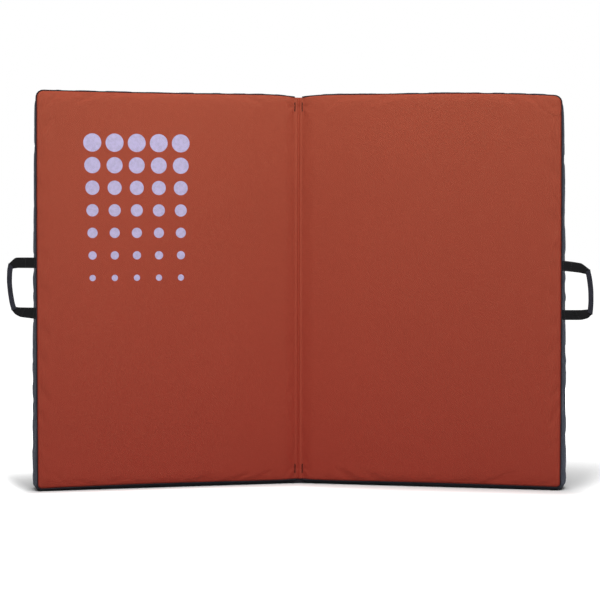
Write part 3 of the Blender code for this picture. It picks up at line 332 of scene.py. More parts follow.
def wovenCloth(name, look, printed=False, soiledAndShaded=False):
    # basket weave: product of two sines across the UV; colour wanders with broad and fine noise
    grain = clothGrain
    maker = nodeMaker(name)
    u, v = maker.uvPlace()
    weave = maker.times(maker.wave(u, look["pitch"]), maker.wave(v, look["pitch"]))
    broad, fine = maker.noise(*grain["broad"]), maker.noise(*grain["fine"])
    wander = maker.plus(maker.times(broad, grain["broadShare"]), maker.times(fine, 1 - grain["broadShare"]))
    patchy = maker.ramp(wander, *grain["patchy"])
    if printed:  # painted shade: the right half is painted darker away from the fold, for light that falls off there
        patchy = maker.times(patchy, maker.scaled(maker.ramp(u, *look["paintedShadeFrom"]), -look["rightPaintedShade"], 1.0))
    colour = maker.tones(patchy, look["dark"], look["colour"])
    if printed:  # painted light and shade from above: paler at the top, a deeper, darker red towards the foot
        footShadeTone = maker.tones(patchy, look["footShadeDark"], look["footShadeColour"])
        colour = maker.mix(maker.ramp(v, 0.0, pad["height"]), footShadeTone, colour)
        ink = linearColour(*printLook["colour"])
        ink = maker.mix(maker.ramp(fine, *printLook["wear"]), shaded(ink, printLook["worn"]), ink)
        colour = maker.mix(dotPrint(maker, u, v), colour, ink)
    if "scuff" in look:  # paler streaks where it has been dragged and leant on
        streaks = maker.noise(1.0, grain["streakDetail"], maker.stretched(grain["streaks"]), grain["streakRough"])
        paler = linearColour(*(c + grain["paler"] for c in look["colour"]))
        scuffed = maker.times(maker.ramp(streaks, *grain["scuffed"]), look["scuff"])
        colour = maker.mix(scuffed, colour, paler)
    if soiledAndShaded:  # darker near the ground: soil, and painted contact shade where the boxing stands on the floor
        height = maker.scaled(broad, grain["soilShadeWander"], maker.parts(maker.objectPlace())[2])
        soilAndShade = maker.times(maker.ramp(height, *grain["soilShadeLine"]), grain["soilShadeDepth"])
        colour = maker.mix(soilAndShade, colour, linearColour(*grain["soilAndShade"]))
    threads = maker.scaled(weave, grain["threadRough"], look["rough"])
    normal = maker.bump(maker.noise(*grain["creaseNoise"]), *grain["creases"])
    normal = maker.bump(weave, *grain["threads"], normal)
    tint = {"Specular Tint": look["tint"]} if "tint" in look else None
    return maker.finish(colour, threads, normal, grain["specular"], (look["sheen"], look["colour"]), tint)


def dotPrint(maker, u, v):
    # a block of round dots on a square grid, each row's radius a step larger than the row below
    look = printLook
    column = maker.math("DIVIDE", maker.minus(u, look["left"]), look["pitch"])
    row = maker.math("DIVIDE", maker.minus(v, look["low"]), look["pitch"])
    away = maker.length(*(maker.minus(maker.math("FRACT", place), 0.5) for place in (column, row)))
    radius = maker.scaled(maker.math("FLOOR", row), look["growth"] / look["pitch"], look["smallest"] / look["pitch"])
    dot = maker.ramp(maker.minus(radius, away), -look["blur"], look["blur"])
    for place, count in ((column, look["columns"]), (row, look["rows"])):
        dot = maker.times(dot, maker.math("GREATER_THAN", place, 0.0))
        dot = maker.times(dot, maker.math("LESS_THAN", place, float(count)))
    return dot


webbingLook = {"pitch": 0.0016, "rib": 0.0022, "zigzag": 1.6, "yarnShare": 0.6, "noise": 60.0, "patchy": (0.25, 0.75),
               "relief": (0.00025, 0.8), "rough": 0.78, "specular": 0.14, "sheen": 0.03}
foamLook = {"cellReach": 0.6, "darker": 0.75, "relief": (0.0004, 0.6), "rough": 0.95, "specular": 0.2}
plasticLook = {"grain": (900.0, 2.0), "rub": 45.0, "rubbed": (0.35, 0.75), "paler": 12, "rough": (0.22, 0.32),
               "relief": (0.00008, 0.5), "specular": 0.45}
steelLook = {"scratch": (1400.0, 2.0), "drawn": (1.0, 1.0, 0.06), "wear": 70.0, "worn": (0.3, 0.7), "darker": 14,
             "rough": (0.25, 0.25), "relief": (0.00005, 0.4)}
threadLook = {"noise": 400.0, "patchy": (0.3, 0.7), "darker": 10, "twist": 1500.0, "relief": (0.0001, 0.5),
              "rough": 0.6}


def webbingFinish(name, colour, light):
    # ribs across the band with a fine chevron of yarns; the colour is painted lighter where the yarns stand up and
    # darker between them, a painted highlight and shade
    look = webbingLook
    maker = nodeMaker(name)
    along, across = maker.uvPlace()
    zigzag = maker.times(maker.math("ABSOLUTE", maker.wave(across, look["rib"] * 2)), look["zigzag"])
    yarns = maker.math("SINE", maker.plus(maker.times(along, 2 * math.pi / look["pitch"]), zigzag))
    ribs = maker.wave(across, look["rib"])
    height = maker.plus(maker.times(yarns, look["yarnShare"]), maker.times(ribs, 1 - look["yarnShare"]))
    # painted highlight and shade: the tone follows the yarns' height
    share = maker.times(maker.ramp(height, -1.0, 1.0), maker.ramp(maker.noise(look["noise"]), *look["patchy"]))
    tone, normal = maker.tones(share, colour, light), maker.bump(height, *look["relief"])
    return maker.finish(tone, look["rough"], normal, look["specular"], (look["sheen"], light))


def foamFinish(name, colour, cell):
    # open cells: a Voronoi's distance to its point, painted darker in the cells as painted shade in the pores
    look = foamLook
    maker = nodeMaker(name)
    cells = maker.add("ShaderNodeTexVoronoi", {"Scale": 1 / cell, "Vector": maker.objectPlace()}).outputs["Distance"]
    colour = linearColour(*colour)
    tone = maker.mix(maker.ramp(cells, 0.0, look["cellReach"]), shaded(colour, look["darker"]), colour)
    return maker.finish(tone, look["rough"], maker.bump(cells, *look["relief"]), look["specular"])


def plasticFinish(name, colour):
    # moulded acetal: fine spark-eroded grain, slightly polished where hands rub it
    look = plasticLook
    maker = nodeMaker(name)
    grain, rub = maker.noise(*look["grain"]), maker.noise(look["rub"])
    tone = maker.tones(maker.ramp(rub, *look["rubbed"]), colour, [c + look["paler"] for c in colour])
    return maker.finish(tone, maker.scaled(rub, *look["rough"]), maker.bump(grain, *look["relief"]), look["specular"])


def steelFinish(name, colour):
    # drawn wire and sheet: long fine scratches along Z, duller where it is worn
    look = steelLook
    maker = nodeMaker(name)
    scratch, wear = maker.noise(*look["scratch"], maker.stretched(look["drawn"])), maker.noise(look["wear"])
    tone = maker.tones(maker.ramp(wear, *look["worn"]), [c - look["darker"] for c in colour], colour)
    rough, normal = maker.scaled(wear, *look["rough"]), maker.bump(scratch, *look["relief"])
    return maker.finish(tone, rough, normal, more={"Metallic": 1.0})


def threadFinish(name, colour, specular=0.4):
    # twisted thread: broad noise in the colour and fine noise in the bump
    look = threadLook
    maker = nodeMaker(name)
    share = maker.ramp(maker.noise(look["noise"]), *look["patchy"])
    tone = maker.tones(share, [max(0, c - look["darker"]) for c in colour], colour)
    return maker.finish(tone, look["rough"], maker.bump(maker.noise(look["twist"]), *look["relief"]), specular)


finishes = {
    "landing": wovenCloth("landingWeave", clothLooks["landing"], printed=True),
    "boxing": wovenCloth("boxingWeave", clothLooks["boxing"], soiledAndShaded=True),
    "base": wovenCloth("baseWeave", clothLooks["base"]),
    "patch": wovenCloth("patchWeave", clothLooks["patch"]),
    "strap": wovenCloth("strapWeave", clothLooks["strap"]),
    "webbing": webbingFinish("webbingWeave", (9, 9, 10), (23, 23, 25)),
    "grip": webbingFinish("gripWeave", (32, 32, 39), (64, 64, 76)),
    "tape": webbingFinish("edgeTapeWeave", (30, 27, 31), (50, 46, 54)),
    "zipCloth": webbingFinish("zipTapeWeave", (28, 28, 30), (40, 40, 43)),
    "firmFoam": foamFinish("firmFoam", (60, 62, 66), 0.0008),
    "softFoam": foamFinish("softFoam", (196, 190, 150), 0.0016),
    "plastic": plasticFinish("buckleAcetal", (24, 24, 25)),
    "coil": plasticFinish("zipNylon", (26, 26, 27)),
    "steel": steelFinish("hookSteel", (128, 130, 134)),
    "blackThread": threadFinish("blackThread", (38, 36, 40)),
    "greyThread": threadFinish("greyThread", (104, 106, 114)),
    "tackThread": threadFinish("tackThread", (28, 11, 12), 0.12),
}
print("finishes made")


def dress(piece, finishName, body, slot, *nodes):
    # the calls that every finished piece needs
    piece.data.materials.clear()
    piece.data.materials.append(finishes[finishName])
    if body:
        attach(piece, body)
    if nodes:
        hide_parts(*nodes)
    return piece


def applied(piece):  # the mesh with its modifiers, as a plain mesh
    graph = bpy.context.evaluated_depsgraph_get()
    mesh = bpy.data.meshes.new_from_object(piece.evaluated_get(graph), depsgraph=graph)
    piece.modifiers.clear()
    piece.data = mesh
    return piece


def coverSheet(piece, finishName, body, slot, fill, *nodes):
    wall = piece.modifiers.new("Cloth", "SOLIDIFY")
    wall.thickness = pad["cloth"]
    wall.offset = -1
    wall.use_even_offset = False
    dress(applied(piece), finishName, body, slot, *nodes)


settle = {"frames": 18, "rough": 0.00012, "sideways": 0.002}
clothSettings = {"vertex_group_mass": "seams", "use_pressure": True, "quality": 4, "tension_stiffness": 20,
                 "compression_stiffness": 20, "bending_stiffness": 0.6}


def settleCloth(piece, pinned, slack, outward, limit, pressure=0.6):
    # lets sewn cloth with a little spare width wrinkle between its seams, then keeps each point
    # within the limits from where it started, along the outward direction given for it
    start = readPoints(piece.data)
    pinned, outward = pinned.ravel(), outward.reshape(-1, 3)
    piece.vertex_groups.new(name="seams").add(np.flatnonzero(pinned).tolist(), 1.0, "REPLACE")
    putPoints(piece.data, start + outward * draws.normal(0, settle["rough"], (len(start), 1)) * (~pinned)[:, None])
    cloth = piece.modifiers.new("Settle", "CLOTH")
    for key, value in (clothSettings | {"shrink_min": -slack, "uniform_pressure_force": pressure}).items():
        setattr(cloth.settings, key, value)
    cloth.settings.effector_weights.gravity = 0.0
    cloth.point_cache.frame_start = 1
    cloth.point_cache.frame_end = settle["frames"]
    for frameNumber in range(1, settle["frames"] + 1):
        scene.frame_set(frameNumber)
    move = readPoints(piece.evaluated_get(bpy.context.evaluated_depsgraph_get()).data) - start
    piece.modifiers.remove(cloth)
    piece.vertex_groups.clear()
    scene.frame_set(1)
    along = np.sum(move * outward, axis=1, keepdims=True)
    sideways = move - along * outward
    along = np.clip(along, *limit)
    sideways *= np.minimum(1, settle["sideways"] / np.maximum(np.linalg.norm(sideways, axis=1, keepdims=True), 1e-9))
    putPoints(piece.data, start + along * outward + sideways)
    piece.data.update()
    print("settled", piece.name, "moved up to", round(float(np.abs(along).max()) * 1000, 2), "mm")


# the halves' outline

def crowdedShares(count, crowding):  # shares from 0 to 1, closer together near both ends
    t = np.linspace(0, 1, count)
    return t - crowding * np.sin(2 * math.pi * t) / (2 * math.pi)


def shareGrid(sizes):  # a square of shares from -1 to 1, crowded towards its edges
    return np.meshgrid(*(2 * crowdedShares(sizes[key], sizes["crowding"]) - 1 for key in ("columns", "rows")))


def edgeShares(steps=400, crowding=0.7):  # the square's edge, from the lower fold corner round by the ground
    edge = 2 * crowdedShares(steps, crowding)[:-1] - 1
    full = np.ones(steps - 1)
    return np.concatenate((edge, full, -edge, -full)), np.concatenate((-full, edge, full, -edge))


def outlinePlace(side, a, b, grow=0.0, inner=0.0, lower=0.0, foldRadius=pad["foldRadius"], radius=pad["cornerRadius"]):
    # maps a square of shares from -1 to 1 onto the half's face: a rectangle with elliptical corners,
    # whose outer edge swells between the corners; the upper and lower edges draw in and dip at the fold
    left, right = pad["foldClearance"] - inner, pad["halfWidth"] + grow
    low, high = pad["seamRise"] - lower, pad["height"] + grow
    u = (left + right) / 2 + a * (right - left) / 2
    w = (low + high) / 2 + b * (high - low) / 2
    for uEdge, uWay, bends in ((left, -1, foldRadius), (right, 1, radius)):
        for wEdge, wWay, bend in ((low, -1, bends[0]), (high, 1, bends[1])):
            du = np.clip((uWay * (u - uEdge) + bend) / bend, 0, 1)
            dw = np.clip((wWay * (w - wEdge) + bend) / bend, 0, 1)
            inCorner = (du > 0) & (dw > 0)
            u = np.where(inCorner, uEdge + uWay * bend * (du * np.sqrt(1 - dw**2 / 2) - 1), u)
            w = np.where(inCorner, wEdge + wWay * bend * (dw * np.sqrt(1 - du**2 / 2) - 1), w)
    across = (2 * u - left - right) / (right - left)
    upward = (2 * w - low - high) / (high - low)
    dip = np.clip(1 - u / pad["dipReach"], 0, 1) ** 2
    draw = pad["endDraw"] * (1 - across**2)
    droop = np.clip((u - pad["droopFrom"]) / (pad["halfWidth"] - pad["droopFrom"]), 0, 1) ** 2
    fall = np.clip(upward, 0, 1) ** 3 * (draw + settling[side]["droop"] * droop + pad["dipTop"] * dip)
    rise = np.clip(-upward, 0, 1) ** 3 * (draw - settling[side]["footDroop"] * droop + pad["dipFoot"] * dip)
    u = u + np.clip(across, 0, 1) ** 3 * pad["sideSwell"] * (1 - upward**2)
    return u, w - fall + rise


def rearOutline(side, a, b, inset=0.0):
    # the front outline with rounder corners, drawn in towards the fold in proportion to u, more at the top
    u, w = outlinePlace(side, a, b, -inset, -inset, -inset, radius=pad["rearCornerRadius"])
    foot, top = settling[side]["foot"], settling[side]["top"]
    return u * (1 - (foot + (top - foot) * w / pad["height"]) / pad["halfWidth"]), w


def seamLoop(side, step, *growth, radius=pad["cornerRadius"]):  # the face's edge as a closed line
    line = np.stack(outlinePlace(side, *edgeShares(), *growth, radius=radius), axis=1)
    return resample(np.concatenate((line, line[:1])), step)[:-1]


def matchedRear(side, loop):  # the rear seam's points that lie across from the front seam's
    front, rear = (np.stack(outline(side, *edgeShares()), axis=1) for outline in (outlinePlace, rearOutline))
    nearest = np.argmin(np.hypot(front[None, :, 0] - loop[:, None, 0], front[None, :, 1] - loop[:, None, 1]), axis=1)
    return smoothed(rear[nearest], 3, closed=True)


def rollOver(distance, radius):  # quarter ellipse: 0 at the seam, 1 from one radius away
    return np.sqrt(1 - (1 - np.clip(distance / radius, 0, 1)) ** 2)


# covers

landing = {
    "columns": 84, "rows": 122, "foldColumns": 9, "crowding": 0.55, "roll": 0.030, "foldRoll": 0.034, "inset": 0.0012,
    "foldCorner": (0.0002, 0.0002), "valley": 0.003, "valleyReach": 0.22, "wander": 0.10, "lean": (-1.0, 0.35),
    "slack": 0.0055, "inLimit": -0.0006, "outLimit": 0.0016,
    "calm": 0.25, "calmWide": 0.26, "calmHigh": 0.16, "calmFold": 0.14,
}
tack = {
    "fromFold": 0.0068, "fromTop": 0.028, "fromFoot": 0.0275, "length": 0.020, "halfWide": 0.0010, "reach": 0.018,
    "pull": 0.0015, "folds": 5, "upright": 0.7, "still": 0.002, "easing": 0.004, "dimple": 0.2, "core": 0.006,
    "pitch": 0.00062, "sway": 0.00025, "swayWaves": 900, "thread": 0.00042,
}
tackLevels = (pad["seamRise"] + tack["fromFoot"], pad["height"] - tack["fromTop"])


def tackPuckers(u, w):
    # a cosine of the angle round each bar tack, dying away from it, and the dimple that the tack pulls in
    depth = np.zeros_like(u)
    for level in tackLevels:
        du, dw = u - tack["fromFold"], (w - level) * tack["upright"]
        away = np.hypot(du, dw)
        fade = np.exp(-away / tack["reach"]) * np.clip((u - tack["still"]) / tack["easing"], 0, 1)
        star = np.cos(tack["folds"] * np.arctan2(dw, du)) * np.clip(away / tack["core"], 0, 1)
        depth = depth + tack["pull"] * fade * (tack["dimple"] + (1 - tack["dimple"]) * star)
    return depth


def landingDepth(u, w):
    # crown times a quarter ellipse at the outer seams and a sine at the fold
    outer = rollOver(pad["halfWidth"] - u, landing["roll"])
    ends = rollOver(np.minimum(w - pad["seamRise"], pad["height"] - w), landing["roll"])
    inner = np.sin(math.pi / 2 * np.clip((u - pad["foldClearance"]) / landing["foldRoll"], 0, 1))
    return pad["axisAhead"] - pad["landingCrown"] * outer * ends * inner + tackPuckers(u, w)


def landingHalf(side):
    a, b = shareGrid(landing)
    inset = landing["inset"]
    u, w = outlinePlace(side, a, b, -inset, -pad["binding"] - pad["gap"], -inset, foldRadius=landing["foldCorner"])
    points, uv = toWorld(u, landingDepth(u, w), w, side), np.stack((side * u, w), axis=-1)
    return (points, uv) if side > 0 else (points[:, ::-1], uv[:, ::-1])


def acrossFold(piece):
    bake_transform(piece)


def landingCloth():
    # both halves' grids, joined over the fold by a strip that sinks as a cosine of the share across it
    (left, leftUv), (right, rightUv) = landingHalf(-1), landingHalf(1)
    shares = np.linspace(0, 1, landing["foldColumns"] + 2)[1:-1]
    # the crease wanders from right of the middle at the top to left of it at the foot
    lean = np.interp(left[:, -1, 2], (0.0, pad["height"]), landing["lean"])[:, None]
    fromCrease = np.abs(shares - 0.5 - landing["wander"] * lean) / landing["valleyReach"]
    share = shares[None, :, None]
    strip = left[:, -1:] * (1 - share) + right[:, :1] * share
    strip[:, :, 1] += np.cos(math.pi / 2 * np.clip(fromCrease, 0, 1)) * landing["valley"]
    uv = np.concatenate((leftUv, leftUv[:, -1:] * (1 - share) + rightUv[:, :1] * share, rightUv), axis=1)
    piece = gridMesh("landingCloth", np.concatenate((left, strip, right), axis=1), uv)
    pinned = np.zeros(uv.shape[:2], bool)
    pinned[[0, -1]] = pinned[:, [0, -1]] = True
    pinned[:, landing["columns"] - 2: landing["columns"] + landing["foldColumns"] + 2] = True
    outward = np.zeros(uv.shape[:2] + (3,))
    middle = uv.shape[1] // 2
    outward[:, :middle], outward[:, middle:] = -backward(-1), -backward(1)
    fromFold, level = np.abs(uv[..., 0]), uv[..., 1]
    corner = np.hypot((fromFold - pad["halfWidth"]) / landing["calmWide"], level / landing["calmHigh"])
    loose = np.clip(np.minimum(corner, fromFold / landing["calmFold"]), landing["calm"], 1).reshape(-1, 1)
    limit = (landing["inLimit"] * loose, landing["outLimit"] * loose)
    settleCloth(piece, pinned, landing["slack"], outward, limit)
    nodes = ("left_landing_cover", "right_landing_cover", "hinge_panel")
    coverSheet(piece, "landing", None, "landing_cloth", 0.9, *nodes)
    acrossFold(piece)


boxing = {
    "step": 0.007, "rows": 15, "crowding": 0.35, "lap": 0.0008, "bulge": 0.0035, "bulgePower": 2.5, "slump": 0.65,
    "ripple": 0.45, "rippleLength": 0.16, "seed": 11, "sag": 0.016, "sagPower": 6, "groundEase": 0.0012,
    "foldShare": 0.8, "slack": 0.02, "inLimit": -0.0018, "outLimit": 0.0022,
    "legs": (0.396, 0.505), "legReach": 0.022, "legCalm": 0.8, "heldBelow": -0.5,
}


def boxingBand(word, side):
    # the seam loop carried through the pad's depth, swollen between the seams and flat on the ground
    shares = crowdedShares(boxing["rows"], boxing["crowding"])
    depths = shares * (pad["seamDepth"] - 2 * boxing["lap"])
    loop = seamLoop(side, boxing["step"])
    middle = (loop.max(axis=0) + loop.min(axis=0)) / 2
    tangent = np.roll(loop, -1, axis=0) - np.roll(loop, 1, axis=0)
    normal = unit(np.stack((tangent[:, 1], -tangent[:, 0]), axis=1))
    normal *= np.sign(np.sum(normal * (loop - middle), axis=1, keepdims=True))
    along = runLength(np.concatenate((loop, loop[:1])))
    wander = 1 + boxing["ripple"] * ripple(along[:-1], boxing["rippleLength"], boxing["seed"] + side)
    swell, hold = (1 - np.abs(2 * shares - 1) ** boxing[power] for power in ("bulgePower", "sagPower"))
    outward = np.clip(normal[:, 0], 0, 1) + np.clip(normal[:, 1], 0, 1)
    slump = 1 - boxing["slump"] * loop[:, 1] / pad["height"]
    # calm where the handle's legs are sewn in
    atLeg = np.max([np.exp(-(((loop[:, 1] - leg) / boxing["legReach"]) ** 4)) for leg in boxing["legs"]], axis=0)
    calm = 1 - boxing["legCalm"] * atLeg * np.clip(normal[:, 0], 0, 1)
    bulge = boxing["bulge"] * swell[:, None] * outward * wander * slump * calm
    place = loop + shares[:, None, None] * (matchedRear(side, loop) - loop) + bulge[..., None] * normal
    u = np.maximum(place[..., 0], pad["foldClearance"] * boxing["foldShare"])
    w = place[..., 1] - boxing["sag"] * hold[:, None] * np.clip(-normal[:, 1], 0, 1)
    w = (w + np.sqrt(w**2 + boxing["groundEase"] ** 2)) / 2
    uv = np.stack(np.meshgrid(along, depths), axis=-1)
    points = toWorld(u, (pad["axisAhead"] + boxing["lap"] + depths)[:, None], w, side)
    piece = gridMesh(word + "Boxing", points, uv, wrapColumns=True)
    out = np.broadcast_to(toWorldVector(normal[:, 0], 0.0, normal[:, 1], side), points.shape)
    faceOutward(piece, out)
    pinned = np.zeros(u.shape, bool)
    pinned[[0, -1]] = True
    pinned |= normal.min(axis=1) < boxing["heldBelow"]  # where it faces the ground or the fold
    outLimit = np.broadcast_to(boxing["outLimit"] * calm, u.shape).reshape(-1, 1)
    settleCloth(piece, pinned, boxing["slack"], out, (boxing["inLimit"], outLimit))
    coverSheet(piece, "boxing", word + "_half", "boxing_cloth", 0.8, word + "_boxing")


base = {
    "columns": 72, "rows": 104, "crowding": 0.6, "roll": 0.022, "inset": 0.0012, "slack": 0.006, "inLimit": -0.0016,
    "outLimit": 0.0001, "pucker": 0.0004, "puckerReach": 0.05, "puckerLength": 0.045, "seed": 31,
}


def baseCover(word, side):
    # the landing side's formula with a lower crown, facing the other way, and small puckers near the seam
    a, b = shareGrid(base)
    u, w = rearOutline(side, a, b, base["inset"])
    fromSide, fromEnd = (1 - np.abs(a)) * pad["halfWidth"] / 2, (1 - np.abs(b)) * pad["height"] / 2
    edges = rollOver(fromSide, base["roll"]) * rollOver(fromEnd, base["roll"])
    nearSeam = np.clip(1 - np.minimum(fromSide, fromEnd) / base["puckerReach"], 0, 1)
    pucker = base["pucker"] * nearSeam * ripple(u + w, base["puckerLength"], base["seed"] + side)
    v = pad["axisAhead"] + pad["seamDepth"] + pad["baseCrown"] * edges - np.abs(pucker)
    piece = gridMesh(word + "Base", toWorld(u, v, w, side), np.stack((side * u, w), axis=-1))
    outward = np.tile(backward(side), (u.size, 1))
    faceOutward(piece, outward)
    pinned = np.zeros(u.shape, bool)
    pinned[[0, -1]] = pinned[:, [0, -1]] = True
    settleCloth(piece, pinned, base["slack"], outward, (base["inLimit"], base["outLimit"]))
    coverSheet(piece, "base", word + "_half", "base_cloth", 0.9, word + "_base_cover")


foam = {"inset": 0.0030, "impact": 0.010, "step": 0.016, "edge": 0.003, "rings": (0.02, 0.5, 0.97)}


def foamBlocks(word, side):
    # two closed blocks inside the covers: rings of the seam's outline on both faces, with a cut edge
    inset, inside = foam["inset"], pad["cloth"] + pad["gap"]
    front, back = pad["axisAhead"] + inside, pad["axisAhead"] + pad["seamDepth"] - inside
    split = front + foam["impact"]
    rearRadius = pad["rearCornerRadius"]
    for title, slot, node, low, high in (
        ("FirmFoam", "closed_cell_foam", "_impact_foam", front, split - pad["gap"]),
        ("SoftFoam", "open_cell_foam", "_core_foam", split, back),
    ):
        loop = seamLoop(side, foam["step"], -inset - settling[side]["top"], -inset, -inset, radius=rearRadius)
        middle = (loop.max(axis=0) + loop.min(axis=0)) / 2
        face = [(share, 0.0) for share in foam["rings"]] + [(1.0, foam["edge"])]
        rings = [(share, low + depth) for share, depth in face] + [(share, high - depth) for share, depth in face[::-1]]
        points = []
        for share, depth in rings:
            place = middle + share * (loop - middle)
            points.append(toWorld(place[:, 0], depth, place[:, 1], side))
        piece = gridMesh(word + title, np.stack(points), wrapColumns=True, caps=True)
        facesOut(piece)
        dress(piece, title[0].lower() + title[1:], word + "_half", slot, word + node)


binding = {"step": 0.006, "halfWide": 0.0013, "halfDeep": 0.0020, "ripple": 0.25, "rippleLength": 0.09, "seed": 5,
           "fromFold": 0.0004, "points": 12, "power": 0.7}


def bindingProfile():  # a circle squared a little by a power of its sine and cosine
    angle = np.linspace(0, 2 * math.pi, binding["points"], endpoint=False)
    return np.stack([np.sign(way) * np.abs(way) ** binding["power"] for way in (np.cos(angle), np.sin(angle))], axis=1)


def seamBinding(word, side, which):
    # the tape's profile carried along a seam, with a rippling width
    loop = seamLoop(side, binding["step"])
    closed = which == "rear"
    if closed:
        loop = matchedRear(side, loop)
    else:  # open at the fold
        loop = loop[loop[:, 0] > pad["foldClearance"] + binding["fromFold"]]
        loop = np.roll(loop, -int(np.argmin(loop[:, 0] + loop[:, 1])), axis=0)
        if loop[1, 0] < loop[0, 0]:
            loop = np.roll(loop, 1, axis=0)[::-1]
    ahead, behind = np.roll(loop, -1, axis=0), np.roll(loop, 1, axis=0)
    if not closed:
        ahead[-1], behind[0] = loop[-1], loop[0]
    tangent = unit(ahead - behind)
    path = toWorld(loop[:, 0], pad["axisAhead"] + closed * pad["seamDepth"], loop[:, 1], side)
    wave = 1 + binding["ripple"] * ripple(runLength(path), binding["rippleLength"], binding["seed"] + side)
    across = toWorldVector(tangent[:, 1], 0.0, -tangent[:, 0], side) * (binding["halfWide"] * wave)[:, None]
    through = np.tile(backward(side) * binding["halfDeep"], (len(loop), 1))
    piece = sweep(word + which.title() + "Binding", path, across, through, bindingProfile(), closed)
    dress(piece, "tape", word + "_half", "binding_tape", f"{word}_{which}_binding")


hem = {"reach": 0.010, "behind": 0.0035, "above": 0.0062, "clear": 0.0002, "round": 0.3, "steps": 9}


def foldHem():
    # the boxing's tape carried across the foot of the fold, from one half to the other
    depth, top = pad["axisAhead"] + hem["behind"], pad["seamRise"] + hem["above"]
    share = np.linspace(0, 1, hem["steps"])
    left, right = (toWorld(hem["reach"], depth, top / 2, side) for side in (-1, 1))
    path = left + share[:, None] * (right - left)
    near = toWorld(pad["foldClearance"], depth, 0.0, 1)[1]
    path[:, 1] = np.minimum(path[:, 1] + (near - path[:, 1]) * np.sin(math.pi * share) ** 0.5, near)
    across = np.tile((0.0, 0.0, top / 2 - hem["clear"]), (len(share), 1))
    through = np.tile((0.0, binding["halfWide"], 0.0), (len(share), 1))
    piece = dress(sweep("foldHem", path, across, through, stadium(hem["round"])), "tape", None, "binding_tape")
    acrossFold(piece)


landingCloth()
foldHem()
for word, side in sides.items():
    boxingBand(word, side)
    baseCover(word, side)
    foamBlocks(word, side)
    seamBinding(word, side, "front")
    seamBinding(word, side, "rear")
print("covers made")

# webbing, thread and fittings

webbing = {"thick": 0.0018, "width": 0.025, "beltWidth": 0.038, "step": 0.0015}
flatWay, beltWay = (webbing["width"] / 2, 0, 0), (webbing["beltWidth"] / 2, 0, 0)


def rounded(path, passes):  # an even path whose corners are eased by smoothing passes
    return smoothed(resample(path, webbing["step"]), passes)


def band(name, path, across, side, body, *nodes, thickness=webbing["thick"], look="webbing", slot="black_webbing",
         profile=None):
    # path and across in the half's frame; the thickness lies square to both
    across = np.broadcast_to(np.asarray(across, float), path.shape)
    through = unit(np.cross(unit(np.gradient(path, axis=0)), across)) * thickness / 2
    if profile is None:
        profile = stadium(thickness / 2 / float(np.linalg.norm(across, axis=1).mean()))
    worldAcross, worldThrough = (toWorldVector(*vectors.T, side) for vectors in (across, through))
    return dress(sweep(name, localPath(path, side), worldAcross, worldThrough, profile), look, body, slot, *nodes)


def arcPoints(centre, radius, start, end, count=10):  # round a bar, as depth and height
    angle = np.radians(np.linspace(start, end, count))
    return [(centre[0] + radius * math.cos(a), centre[1] + radius * math.sin(a)) for a in angle]


def barTurn(bar, plate):  # radius of webbing that passes round a bar
    return math.hypot(bar, plate) / 2 + pad["gap"] + webbing["thick"] / 2


def atU(u, flat):  # a path of depths and heights at one distance from the fold
    return np.array([(u, depth, height) for depth, height in flat])


def stitchRow(line, out, pitch=0.0042, length=0.0030):
    # even dashes along a line: where each starts and ends, and its outward way
    reach = runLength(line)
    count = max(1, int(reach[-1] / pitch))
    middles = (np.arange(count) + 0.5) * reach[-1] / count
    start, end = (placesOn(line, reach, middles + way * length / 2) for way in (-1, 1))
    return start, end, np.broadcast_to(np.asarray(out, float), start.shape)


def sewnLines(lines, side):  # stitch rows along lines on the base side
    return [stitchRow(localPath(line, side), backward(side)) for line in lines]


def sewnOutline(corners, depth, side, crossed=False):  # from corner to corner, and over both diagonals if crossed
    pairs = list(zip(corners, corners[1:] + corners[:1]))
    if crossed:
        pairs += [corners[::2], corners[1::2]]
    return sewnLines([[(u, depth, w) for u, w in pair] for pair in pairs], side)


def sewnBox(u, w, width, height, depth, side, crossed=False):
    corners = [(u + x * width / 2, w + z * height / 2) for x, z in ((-1, -1), (1, -1), (1, 1), (-1, 1))]
    return sewnOutline(corners, depth, side, crossed)


capsule = ((-0.5, 0.35, -0.6), (-0.36, 1.0, 0.0), (0.36, 1.0, 0.0), (0.5, 0.35, -0.6))


def stitches(name, rows, body, slot="black_webbing", look="greyThread", radius=0.00032, sink=0.3):
    # capsules of four rings of six points, each with its place, size and lift in shares, sunk into the cloth
    start, end, out = (np.concatenate([row[k] for row in rows]) for k in range(3))
    along = unit(end - start)
    out = unit(out - along * np.sum(out * along, axis=1, keepdims=True))
    angle = np.arange(6)[None, :, None] * math.pi / 3
    around = radius * (np.cos(angle) * np.cross(along, out)[:, None] + np.sin(angle) * out[:, None])
    rings = []
    for place, size, lift in capsule:
        middle = (start + end) / 2 + (end - start) * place + out * radius * (1 - sink + lift)
        rings.append(middle[:, None] + size * around)
    here = np.arange(6)
    ahead = (here + 1) % 6
    walls = np.concatenate([np.stack((r + here, r + ahead, r + 6 + ahead, r + 6 + here), axis=1) for r in (0, 6, 12)])
    shift = 24 * np.arange(len(start))[:, None, None]
    faces = (walls + shift).reshape(-1, 4).tolist()
    faces += (np.stack((here[::-1], here + 18)) + shift).reshape(-1, 6).tolist()
    piece = meshPiece(name, np.stack(rings, axis=1), faces)
    facesOut(piece)
    return dress(piece, look, body, slot)


